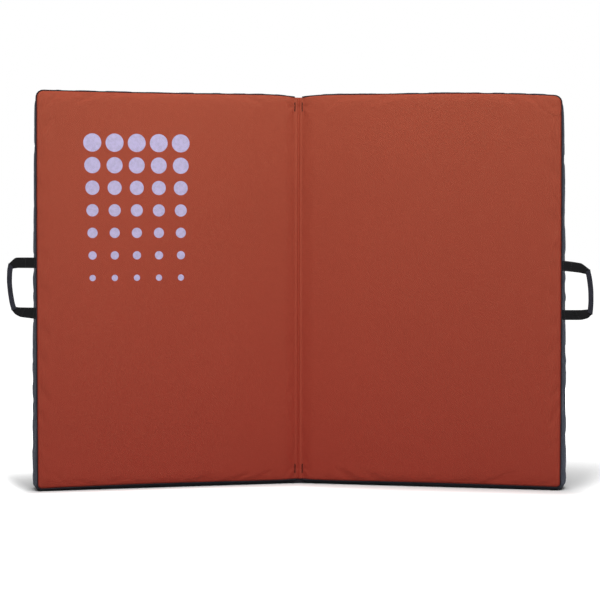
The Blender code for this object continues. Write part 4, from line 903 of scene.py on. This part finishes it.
trims = {
    "patch": {"look": "patch", "slot": "base_cloth", "edge": 0.0003, "steps": 2},
    "strapPatch": {"look": "webbing", "slot": "black_webbing", "edge": 0.0003, "steps": 2},
    "keeper": {"look": "strap", "slot": "strap_padding", "edge": 0.0004, "steps": 2},
    "buckle": {"look": "plastic", "slot": "buckle_plastic", "edge": 0.0006, "steps": 3},
    "hook": {"look": "steel", "slot": "hook_steel", "edge": 0.0005, "steps": 3},
    "slider": {"look": "steel", "slot": "hook_steel", "edge": 0.0003, "steps": 2},
}


def mergedFlats(made):
    bmesh.ops.remove_doubles(made, verts=made.verts, dist=1e-6)
    bmesh.ops.dissolve_limit(made, angle_limit=math.radians(1), verts=made.verts, edges=made.edges)


def finishedCopy(node, kind, body, side=None):
    # the CAD piece's own faces, merged, with its edges rounded; given a side, a UV across the half
    trim = trims[kind]
    piece = frame["nodes"][node].copy()
    piece.data = frame["nodes"][node].data.copy()
    piece.name = node + "Finished"
    scene.collection.objects.link(piece)
    reworked(piece, mergedFlats)
    rounding = piece.modifiers.new("Edges", "BEVEL")
    rounding.width = trim["edge"]
    rounding.segments = trim["steps"]
    rounding.limit_method = "ANGLE"
    rounding.angle_limit = math.radians(32)
    rounding.use_clamp_overlap = True
    mesh = applied(piece).data
    mesh.shade_smooth()
    if side is not None:
        place = readPoints(mesh)
        owner = np.empty(len(mesh.loops), dtype=np.int32)
        mesh.loops.foreach_get("vertex_index", owner)
        putUv(mesh, np.stack((place @ toWorldVector(1.0, 0.0, 0.0, side), place[:, 2]), axis=1)[owner])
    dress(piece, trim["look"], body, trim["slot"], node)


# carry handles, from the photo: rows of two edge points of each leg and of the folded grip, as u, w, u, w in mm

handleForms = {
    "left": {
        "upper": ((600.5, 495.5, 600.5, 519.0), (625.0, 495.8, 625.0, 519.2), (642.0, 496.0, 647.4, 519.2),
                  (653.4, 494.5, 663.6, 504.2)),
        "grip": ((652.6, 498.5, 662.4, 506.5), (654.4, 487.0, 665.6, 492.0), (655.4, 462.4, 666.6, 467.0),
                 (653.0, 440.0, 664.2, 441.0), (649.4, 420.0, 660.4, 418.0), (645.2, 406.0, 655.9, 402.0)),
        "lower": ((647.4, 410.5, 657.4, 405.0), (640.0, 409.2, 648.0, 393.5), (625.0, 408.8, 637.0, 387.6),
                  (600.5, 408.2, 600.5, 382.6)),
    },
    "right": {
        "upper": ((600.5, 489.6, 600.5, 512.2), (620.0, 487.5, 623.0, 509.8), (640.0, 485.2, 645.0, 506.4),
                  (654.7, 482.0, 664.8, 491.0)),
        "grip": ((654.0, 486.5, 663.6, 493.5), (657.4, 468.0, 668.6, 472.0), (660.2, 444.0, 671.6, 446.0),
                 (660.6, 420.0, 671.8, 419.0), (659.0, 404.0, 670.4, 400.0), (658.2, 398.5, 669.2, 391.8)),
        "lower": ((658.4, 404.2, 669.4, 394.5), (646.0, 402.8, 660.0, 384.6), (630.0, 402.5, 645.0, 380.4),
                  (600.5, 402.3, 600.5, 380.0)),
    },
}
handle = {"leg": 0.0020, "grip": 0.0048, "steps": 60, "passes": 14, "bow": 0.0006, "bows": 3, "hem": 0.78,
          "legRound": 0.09, "gripEnds": slice(6, -6), "legStitch": (0.0036, 0.0026),
          "gripStitch": (0.0040, 0.0029), "gripSewn": (0.62, 0.96)}
handleLegs = {  # lift out of the grip's plane, sewn stretch, places of the cross rows
    "upper": (-0.0002, slice(0, 24), (20, 4)),
    "lower": (0.0002, slice(36, 60), (39, 55)),
}


def foldedProfile():
    # webbing folded along its length: a closed outline with an open slot on the inner side
    outer, inner = np.linspace(math.pi / 2, -math.pi / 2, 9), np.linspace(-math.pi / 2, math.pi / 2, 5)
    front = np.stack((np.linspace(-1, 0.6, 5), np.full(5, 0.96)), axis=1)
    turnOut = np.stack((0.62 + 0.38 * np.cos(outer), np.sin(outer)), axis=1)
    slotBack = np.stack((np.linspace(-1, 0.5, 4), np.full(4, -0.08)), axis=1)
    turnIn = np.stack((0.52 + 0.06 * np.cos(inner), 0.08 * np.sin(inner)), axis=1)
    return np.concatenate((front, turnOut, front[::-1] * (1, -1), slotBack, turnIn, slotBack[::-1] * (1, -1)))


def edgedBand(name, edges, thickness, lift, word, side, look, profile, *nodes):
    # a band between two edge lines, each smoothed, bowed a little out of its plane
    edges = np.array(edges) / 1000
    fine = np.linspace(0, 1, handle["steps"])
    edges = smoothed(placesOn(edges, np.linspace(0, 1, len(edges)), fine), handle["passes"])
    near, far = edges[:, :2], edges[:, 2:]
    middle, half = (near + far) / 2, (far - near) / 2
    depth = pad["axisAhead"] + lift + handle["bow"] * np.sin(handle["bows"] * math.pi * fine)
    path = toWorld(middle[:, 0], depth, middle[:, 1], side)
    across = toWorldVector(half[:, 0], 0.0, half[:, 1], side)
    through = np.tile(backward(side) * thickness / 2, (len(path), 1))
    dress(sweep(name, path, across, through, profile), look, word + "_handle", "black_webbing", *nodes)
    return path, across, through


def carryHandle(word, side):
    towards = -backward(side)
    rows = []
    for leg, (lift, sewn, spots) in handleLegs.items():
        name = word + leg.title() + "Leg"
        path, across, through = edgedBand(
            name, handleForms[word][leg], handle["leg"], lift, word, side, "webbing", stadium(handle["legRound"]))
        hems = [path + way * handle["hem"] * across - through for way in (-1, 1)]
        lines = [line[sewn] for line in hems] + [np.stack([line[spot] for line in hems]) for spot in spots]
        rows += [stitchRow(line, towards, *handle["legStitch"]) for line in lines]
    path, across, through = edgedBand(word + "Grip", handleForms[word]["grip"], handle["grip"], 0.0, word, side, "grip",
                                      foldedProfile(), word + "_carry_handle")
    inward, out = handle["gripSewn"]
    sewn = (path - across * inward - through * out)[handle["gripEnds"]]
    rows.append(stitchRow(sewn, towards, *handle["gripStitch"]))
    stitches(word + "HandleStitches", rows, word + "_handle", look="blackThread")


def barTacks():
    # dense satin stitches across a short bar, at both ends of the fold on both sides of it
    for word, side in sides.items():
        rows = []
        for level in tackLevels:
            heights = np.arange(level - tack["length"] / 2, level + tack["length"] / 2, tack["pitch"])[:, None]
            sway = tack["sway"] * np.sin(heights * tack["swayWaves"])
            u = tack["fromFold"] + np.array((-1, 1)) * tack["halfWide"] + sway
            w = np.repeat(heights, 2, axis=1)
            line = toWorld(u, landingDepth(u, w), w, side)
            rows.append((line[:, 0], line[:, 1], np.tile(-backward(side), (len(line), 1))))
        stitches(word + "BarTacks", rows, word + "_half", "landing_cloth", "tackThread", tack["thread"], 0.2)


# carrying harness

harness = {
    "middle": pad["halfWidth"] / 2, "yokeWidth": 0.240, "yokeHeight": 0.060, "yokeLow": pad["height"] - 0.189,
    "yokeRows": (0.004, 0.0075), "patch": 0.0015, "topOffset": 0.062, "footOffset": 0.085, "sweep": 0.022,
    "length": 0.430, "width": 0.070, "footWidth": 0.040, "taperFrom": 0.6, "padding": 0.012, "end": 0.004,
    "bow": 0.036, "peak": 0.12, "footLift": 0.006, "steps": 90, "around": 30, "edge": 0.0012, "slack": 0.03,
    "endSlope": 3, "taperPower": 1.5, "endPower": 40, "edgePower": 3, "endRings": 3, "sewnColumn": 3,
    "limit": (-0.0015, 0.0002), "pressure": 0.3, "proud": 0.0001, "sewnEnds": slice(4, -4),
    "tapeWide": 0.0022, "tapeThick": 0.0034, "tapeIn": 0.0016, "tapeStep": 0.004, "sewnIn": 0.0062,
    "lockBar": 0.0040, "lockWindow": 0.0056, "lockFoot": 0.0080, "lockThickness": 0.0040, "tabDrop": 0.012,
    "tabLap": 0.060, "tabHem": 0.0095, "tabSewn": slice(2, 30), "tabRows": (2, 14, 28), "tail": 0.130,
    "anchorTop": 0.125, "anchorHeight": 0.045, "anchorHem": 0.004, "anchorSewn": (0.021, 0.0125),
    "blendFrom": 0.02, "blendTo": 0.004,
    "haulLength": 0.130, "haulRise": 0.030, "haulFoot": 0.022, "haulSewn": (0.015, 0.018),
}


def strapRise(share):  # two straight runs with a rounded peak
    fromPeak = np.abs(2 * share - 1)
    return np.where(fromPeak > harness["peak"], 1 - fromPeak, 1 - (fromPeak**2 / harness["peak"] + harness["peak"]) / 2)


def strapLine(hand, share):
    # the strap's middle swings outward as a sine and stands off the base; it tapers to its foot
    h = harness
    offset = h["topOffset"] + share * (h["footOffset"] - h["topOffset"]) + h["sweep"] * np.sin(math.pi * share)
    halfThick = (h["end"] + (h["padding"] - h["end"]) * np.minimum(1, np.sin(math.pi * share) * h["endSlope"])) / 2
    depth = baseSeat + halfThick + share * h["footLift"] + h["bow"] * strapRise(share)
    top = h["yokeLow"] - pad["gap"] - h["end"] / 2
    taper = np.clip((share - h["taperFrom"]) / (1 - h["taperFrom"]), 0, 1) ** h["taperPower"]
    halfWidth = (h["width"] - (h["width"] - h["footWidth"]) * taper) / 2
    return np.stack((h["middle"] + hand * offset, depth, top - share * h["length"]), axis=-1), halfWidth, halfThick


def strapOut(line):  # square to the strap, away from the base
    out = np.cross((-1.0, 0.0, 0.0), np.gradient(line, axis=0))
    return unit(out * np.sign(out[:, 1:2]))


def shoulderStrap(word, hand, side):
    # padding: full thickness in the middle, falling as a root of a cubic to a thin sewn edge
    h = harness
    body, edge, n = word + "_strap", h["edge"], h["around"]
    share, across = np.linspace(0.0, 1, h["steps"]), np.linspace(-1, 1, n)
    line, halfWidth, halfThick = strapLine(hand, share)
    out = strapOut(line)
    ends = np.sqrt(np.clip(1 - np.abs(2 * share - 1) ** h["endPower"], 0, 1))[:, None]
    rise = edge + (halfThick[:, None] - edge) * np.sqrt(1 - np.abs(across) ** h["edgePower"])[None, :] * ends
    flat = line[:, None] + across[None, :, None] * np.array((1.0, 0, 0)) * (halfWidth[:, None, None] - edge)
    lift = rise[:, :, None] * out[:, None]
    points = localPath(np.concatenate((flat + lift, (flat - lift)[:, ::-1]), axis=1), side)
    around = np.linspace(0, 4 * float(halfWidth.mean()), 2 * n + 1)
    uv = np.stack(np.meshgrid(runLength(line), around, indexing="ij"), axis=-1)
    piece = gridMesh(word + "ShoulderStrap", points, uv, wrapColumns=True, caps=True)
    facesOut(piece)
    outward = toWorldVector(*out.T, side)
    pinned = np.zeros(points.shape[:2], bool)
    pinned[:h["endRings"]] = pinned[-h["endRings"]:] = pinned[:, [0, n - 1, n, 2 * n - 1]] = True
    way = np.repeat(outward[:, None], 2 * n, axis=1)
    way[:, n:] *= -1
    settleCloth(piece, pinned, h["slack"], way, h["limit"], h["pressure"])
    dress(piece, "strap", body, "strap_padding", word + "_shoulder_strap")
    rows = []
    for way, title, column in ((-1, "Inner", h["sewnColumn"]), (1, "Outer", -1 - h["sewnColumn"])):
        toEdge = way * np.array((1.0, 0, 0))
        path = resample(line + toEdge * (halfWidth[:, None] - h["tapeIn"]), h["tapeStep"])
        band(word + "StrapEdge" + title, path, (h["tapeWide"], 0, 0), side, body, thickness=h["tapeThick"], look="tape",
             slot="binding_tape", profile=bindingProfile())
        sewn = line + toEdge * (halfWidth[:, None] - h["sewnIn"]) + out * (rise[:, column][:, None] + h["proud"])
        rows.append(stitchRow(localPath(sewn, side)[h["sewnEnds"]], outward.mean(axis=0)))
    stitches(word + "StrapStitches", rows, body)


def shoulderSet(word, hand, side):
    h, thick = harness, webbing["thick"]
    body = word + "_strap"
    shoulderStrap(word, hand, side)
    # webbing tab over the strap's foot and round the lock's top bar
    foot, _, _ = strapLine(hand, np.array(1.0))
    u, depth, lockTop = float(foot[0]), float(foot[1]), float(foot[2]) - h["tabDrop"]
    turn = barTurn(h["lockBar"], h["lockThickness"])
    line, _, halfThick = strapLine(hand, np.linspace(1 - h["tabLap"] / h["length"], 1, 14))
    over = line + strapOut(line) * (halfThick + thick / 2 + pad["gap"])[:, None]
    flat = [tuple(place[1:]) for place in over] + arcPoints((depth, lockTop - h["lockBar"] / 2), turn, 0, -180)
    tab = rounded(atU(u, flat + [(depth - turn, lockTop + h["tabDrop"] / 2)]), 2)
    band(word + "StrapTab", tab, flatWay, side, body, word + "_strap_tab")
    hems = [tab + (way * h["tabHem"], thick / 2, 0) for way in (-1, 1)]
    lines = [line[h["tabSewn"]] for line in hems] + [[line[spot] for line in hems] for spot in h["tabRows"]]
    stitches(word + "TabStitches", sewnLines(lines, side), body)
    finishedCopy(word + "_ladder_lock", "buckle", body)
    # webbing from the anchor, round the lock's foot bar, with a hanging tail
    height = lockTop - 2.5 * h["lockBar"] - 2 * h["lockWindow"]
    seat, start = baseSeat + thick / 2, h["anchorTop"] + pad["gap"]
    flat = [(seat, start), (seat, start + webbing["width"]), (depth - turn, height - h["lockFoot"])]
    flat += arcPoints((depth, height), turn, 180, 0)
    flat += [(depth + turn, height - h["lockFoot"]), (depth + turn - h["lockThickness"] / 2, height - h["tail"])]
    piece = band(word + "Adjuster", rounded(atU(u, flat), 2), flatWay, side, None, word + "_adjuster_webbing")
    start, end = (u, seat, start + h["blendFrom"]), (u, depth, height - h["blendTo"])
    tuple(toWorld(*start, side))
    tuple(toWorld(*end, side))
    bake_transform(piece)
    finishedCopy(word + "_lower_anchor", "patch", "left_half", side)
    top, low = h["anchorTop"] - h["anchorHem"], h["anchorTop"] - h["anchorHeight"] + h["anchorHem"]
    wide, narrow = h["anchorSewn"]
    corners = [(u - wide, low), (u + wide, low), (u + narrow, top), (u - narrow, top)]
    stitches(word + "AnchorStitches", sewnOutline(corners, baseSeat + h["patch"], side), "left_half", "base_cloth")


def standingLoop(foot, reach, span, seat, slope=0.18):
    # a strap that leaves its seat after each foot and stands off it between them, as place and depth
    rise = (span - 2 * foot) * slope
    near, far = seat + webbing["thick"] / 2, seat + reach - webbing["thick"] / 2
    half = [(-span / 2, near), (foot - span / 2, near), (foot + rise / 2 - span / 2, (near + far) / 2),
            (foot + rise - span / 2, far)]
    return half + [(-place, depth) for place, depth in half[::-1]]


def yokeAndHaul(side):
    h = harness
    finishedCopy("shoulder_yoke", "patch", "left_half", side)
    level, back = h["yokeLow"] + h["yokeHeight"] / 2, baseSeat + h["patch"]
    rows = []
    for inset in h["yokeRows"]:
        rows += sewnBox(h["middle"], level, h["yokeWidth"] - 2 * inset, h["yokeHeight"] - 2 * inset, back, side)
    seat = back + pad["gap"]
    flat = standingLoop(h["haulFoot"], h["haulRise"], h["haulLength"], seat)
    path = rounded([(h["middle"] + place, depth, level) for place, depth in flat], 5)
    band("haulHandle", path, flatWay[::-1], side, "left_half", "haul_handle")
    for way in (-1, 1):
        spot = h["middle"] + way * (h["haulLength"] - h["haulFoot"]) / 2
        rows += sewnBox(spot, level, *h["haulSewn"], seat + webbing["thick"], side, crossed=True)
    stitches("yokeStitches", rows, "left_half", "base_cloth")


belt = {"offset": 0.185, "top": 0.345, "drop": 0.205, "flat": 0.068, "foldBack": 0.045, "bar": 0.0050, "plate": 0.0050,
        "anchor": 0.050, "anchorHem": 0.008, "sewnUp": 0.033, "sewn": (0.031, 0.014)}


def waistBelt(side):
    # each end lies on the base, passes round its buckle's bar and folds back
    b = belt
    rows = []
    for word, hand, buckle in (("inner", -1, "belt_socket"), ("outer", 1, "belt_plug")):
        u = harness["middle"] + hand * b["offset"]
        body = word + "_belt_end"
        seat, turn = baseSeat + webbing["thick"] / 2, barTurn(b["bar"], b["plate"])
        depth, bar = seat + turn + pad["gap"], b["top"] - b["drop"] - turn
        flat = [(seat, b["top"]), (seat, b["top"] - b["flat"]), (depth - turn, bar + b["foldBack"])]
        flat += arcPoints((depth, bar), turn, 180, 360) + [(depth + turn, bar + b["foldBack"])]
        band(word + "Belt", rounded(atU(u, flat), 2), beltWay, side, body, word + "_belt")
        finishedCopy(buckle, "buckle", body)
        finishedCopy(word + "_belt_anchor", "patch", "left_half", side)
        level = b["top"] + pad["gap"] + webbing["thick"] + b["anchor"] / 2
        size = b["anchor"] - b["anchorHem"]
        rows += sewnBox(u, level, size, size, baseSeat + harness["patch"], side, crossed=True)
        sewn = sewnBox(u, bar + b["sewnUp"], *b["sewn"], depth + turn + webbing["thick"] / 2, side)
        stitches(word + "BeltStitches", sewn, body)
    stitches("beltAnchorStitches", rows, "left_half", "base_cloth")


closure = {
    "heights": {"upper": 0.81, "lower": 0.405}, "fromSeam": 0.065, "patch": 0.065, "patchSewn": (0.036, 0.030),
    "patchEdge": 0.022, "drop": 0.240, "foldBack": 0.050, "bar": 0.0050, "plate": 0.0025, "sewnUp": 0.036,
    "sewn": (0.031, 0.016), "loopFromSeam": 0.063, "loopFoot": 0.018, "loopRise": 0.014, "loopLength": 0.090,
    "loopSewn": (0.018, 0.012),
}


def closures(side):
    # each strap folds down diagonally at its patch, runs to the hook's bar and folds back
    c, thick, half = closure, webbing["thick"], webbing["beltWidth"] / 2
    u = pad["halfWidth"] - c["fromSeam"]
    rows = []
    for word, share in c["heights"].items():
        w = share * pad["height"]
        body = word + "_closure"
        finishedCopy(word + "_closure_patch", "strapPatch", "right_half", side)
        rows += sewnBox(u - c["patch"] + c["patchEdge"], w, *c["patchSewn"], baseSeat + thick, side, crossed=True)
        near, turn = baseSeat + 1.5 * thick + pad["gap"], barTurn(c["bar"], c["plate"])
        bar, far = w - c["drop"], near + 2 * turn
        flat = [(near, w), (near, w - half - thick)] + arcPoints((near + turn, bar), turn, 180, 360)
        path = resample(atU(u, flat + [(far, bar + c["foldBack"])]), webbing["step"])
        across = np.tile((half, 0.0, 0.0), (len(path), 1))
        diagonal = np.clip((path[:, 2] - (w - half)) / half, 0, 1) * (np.arange(len(path)) < len(path) // 2)
        across[:, 2] = -half * diagonal
        band(word + "ClosureStrap", path, across, side, body, word + "_closure_strap")
        finishedCopy(word + "_closure_hook", "hook", body)
        sewn = sewnBox(u, bar + c["sewnUp"], *c["sewn"], far + thick / 2, side, crossed=True)
        stitches(word + "ClosureStitches", sewn, body)
        finishedCopy(word + "_strap_keeper", "keeper", word + "_keeper", side)
    stitches("closurePatchStitches", rows, "right_half")


def closureLoops(side):
    c = closure
    u = pad["halfWidth"] - c["loopFromSeam"]
    rows = []
    for word, share in c["heights"].items():
        w = share * pad["height"]
        flat = standingLoop(c["loopFoot"], c["loopRise"], c["loopLength"], baseSeat)
        path = rounded([(u, depth, w + place) for place, depth in flat], 3)
        band(word + "ClosureLoop", path, flatWay, side, "left_half", word + "_closure_loop")
        for way in (-1, 1):
            spot = w + way * (c["loopLength"] - c["loopFoot"]) / 2
            rows += sewnBox(u, spot, *c["loopSewn"], baseSeat + webbing["thick"], side, crossed=True)
    stitches("loopStitches", rows, "left_half")


zipSizes = {"fromFold": 0.070, "low": 0.12, "length": 0.62, "tapeWidth": 0.030, "tape": 0.0010, "coilWidth": 0.006,
            "coilThread": 0.0006, "coilLift": 0.0002, "coilSink": 0.55, "coilEnd": 0.004, "pitch": 0.0014,
            "lean": 0.0004, "sewn": 0.012, "sewnEnd": 0.003, "step": 0.01}


def accessZip(word, side):
    # woven tape with a coil of short crossing turns, a sewn row near each edge
    z = zipSizes
    body = word + "_half"
    low, high, face = z["low"], z["low"] + z["length"], baseSeat + z["tape"]
    path = resample([(z["fromFold"], baseSeat + z["tape"] / 2, level) for level in (low, high)], z["step"])
    band(word + "ZipTape", path, (z["tapeWidth"] / 2, 0, 0), side, body, word + "_zip_tape", thickness=z["tape"],
         look="zipCloth", slot="zip_coil")
    heights = np.arange(low + z["coilEnd"], high - z["coilEnd"], z["pitch"])[:, None]
    lean = z["lean"] * (-1) ** np.arange(len(heights))[:, None]
    ways = np.array((-1, 1))[None, :]
    line = toWorld(z["fromFold"] + ways * z["coilWidth"] / 2, face + z["coilLift"], heights + lean * ways, side)
    turns = (line[:, 0], line[:, 1], np.tile(backward(side), (len(line), 1)))
    stitches(word + "ZipCoil", [turns], body, "zip_coil", "coil", z["coilThread"], z["coilSink"])
    levels = (low + z["sewnEnd"], high - z["sewnEnd"])
    lines = [[(z["fromFold"] + way * z["sewn"], face, level) for level in levels] for way in (-1, 1)]
    stitches(word + "ZipStitches", sewnLines(lines, side), body, "zip_coil")
    finishedCopy(word + "_zip_slider", "slider", word + "_slider")
    finishedCopy(word + "_zip_pull", "slider", word + "_pull")


barTacks()
for word, side in sides.items():
    carryHandle(word, side)
    accessZip(word, side)
yokeAndHaul(sides["left"])
for word, hand in (("inner", -1), ("outer", 1)):
    shoulderSet(word, hand, sides["left"])
waistBelt(sides["left"])
closureLoops(sides["left"])
closures(sides["right"])
print("fittings made")

# floor, light and camera

studio = {
    "worldLight": 0.33, "floorSize": 30.0, "floorDrop": 0.0005, "floorBounce": 0.45, "floorTone": 0.75, "glow": 0.84,
    "glowPower": 1.7, "leftReach": 0.39, "rightReach": 0.85, "change": 0.2, "sideways": 7.5, "forward": 6.0,
}
lamps = {
    "overheadSoftbox": {"watts": 68, "size": 2.1, "place": (0.08, -1.5, 2.4), "aim": (0, 0, 0.5)},
    "rearSoftbox": {"watts": 60, "size": 2.2, "place": (0.4, 3.2, 1.3), "aim": (0, 0, 0.45)},
    "frontSoftbox": {"watts": 6.8, "size": 2.5, "place": (-0.9, -3.8, 1.6), "aim": (0, 0, 0.6)},
}
view = {
    "place": (-0.065, foldPlace[1] - 4.994, 0.565), "pitch": math.radians(1.658), "yaw": math.radians(0.783),
    "lens": 131.2, "sensor": 36, "far": 100,
}


def studioFloor():
    # pale paper that glows white where it is seen: the glow is a power of the distance from the pad's
    # footprint over its reach, which is weighed to the side, to the front and from left to right
    size = studio["floorSize"]
    points = np.array([[(x, y, 0) for x in (-size, size)] for y in (-size, size)])
    floor = gridMesh("studioFloor", points)
    floor.location.z = -studio["floorDrop"]
    maker = nodeMaker("studioPaper")
    seen = maker.seenRays()
    tone = maker.mix(seen, (*[studio["floorBounce"]] * 3, 1), (*[studio["floorTone"]] * 3, 1))
    x, y, _ = maker.parts(maker.objectPlace())
    turnCos, turnSin = math.cos(pad["turn"]), math.sin(pad["turn"])
    outward, back = maker.math("ABSOLUTE", x), maker.minus(y, foldPlace[1])
    u = maker.minus(maker.times(outward, turnCos), maker.times(back, turnSin))
    v = maker.plus(maker.times(outward, turnSin), maker.times(back, turnCos))
    beside = maker.times(maker.math("MAXIMUM", maker.minus(u, pad["halfWidth"]), 0.0), studio["sideways"])
    behind = maker.math("MAXIMUM", maker.minus(v, pad["axisAhead"] + pad["seamDepth"]), 0.0)
    before = maker.times(maker.minus(pad["axisAhead"], v), studio["forward"])
    away = maker.length(beside, maker.math("MAXIMUM", before, behind))
    wider = studio["rightReach"] - studio["leftReach"]
    reach = maker.scaled(maker.ramp(x, -studio["change"], studio["change"]), wider, studio["leftReach"])
    level = maker.math("POWER", maker.ramp(maker.math("DIVIDE", away, reach), 0.0, 1.0), studio["glowPower"])
    strength = maker.times(seen, maker.times(level, studio["glow"]))
    glow = maker.add("ShaderNodeEmission", {"Color": (1, 1, 1, 1), "Strength": strength}).outputs[0]
    paper = maker.add("ShaderNodeBsdfDiffuse", {"Color": tone}).outputs[0]
    both = maker.add("ShaderNodeAddShader", {0: paper, 1: glow}).outputs[0]
    maker.put(maker.tree.nodes["Material Output"].inputs["Surface"], both)
    floor.data.materials.append(maker.holder)


def studioWorld():  # an even dim light that shows white itself
    scene.world = bpy.data.worlds.new("studioWorld")
    maker = nodeMaker("studioWorld", scene.world)
    level = maker.add("ShaderNodeMapRange", {"Value": maker.seenRays(), "To Min": studio["worldLight"]}).outputs[0]
    background = maker.tree.nodes["Background"]
    maker.put(background.inputs["Strength"], level)
    maker.put(background.inputs["Color"], (1, 1, 1, 1))


def placed(name, data, place, turn):
    item = bpy.data.objects.new(name, data)
    item.location = place
    item.rotation_euler = turn
    scene.collection.objects.link(item)
    return item


def softLamp(name, watts, size, place, aim):
    lamp = bpy.data.lights.new(name, "AREA")
    lamp.energy = watts
    lamp.size = size
    way = unit(np.array(aim, float) - np.array(place, float))
    placed(name, lamp, place, (math.acos(-way[2]), 0, math.atan2(way[1], way[0]) - math.pi / 2))


def studioCamera():
    camera = bpy.data.cameras.new("camera")
    camera.lens = view["lens"]
    camera.sensor_width = view["sensor"]
    camera.clip_end = view["far"]
    scene.camera = placed("camera", camera, view["place"], (math.pi / 2 - view["pitch"], 0, -view["yaw"]))


studioFloor()
studioWorld()
for name, lamp in lamps.items():
    softLamp(name, **lamp)
studioCamera()
print("studio made")
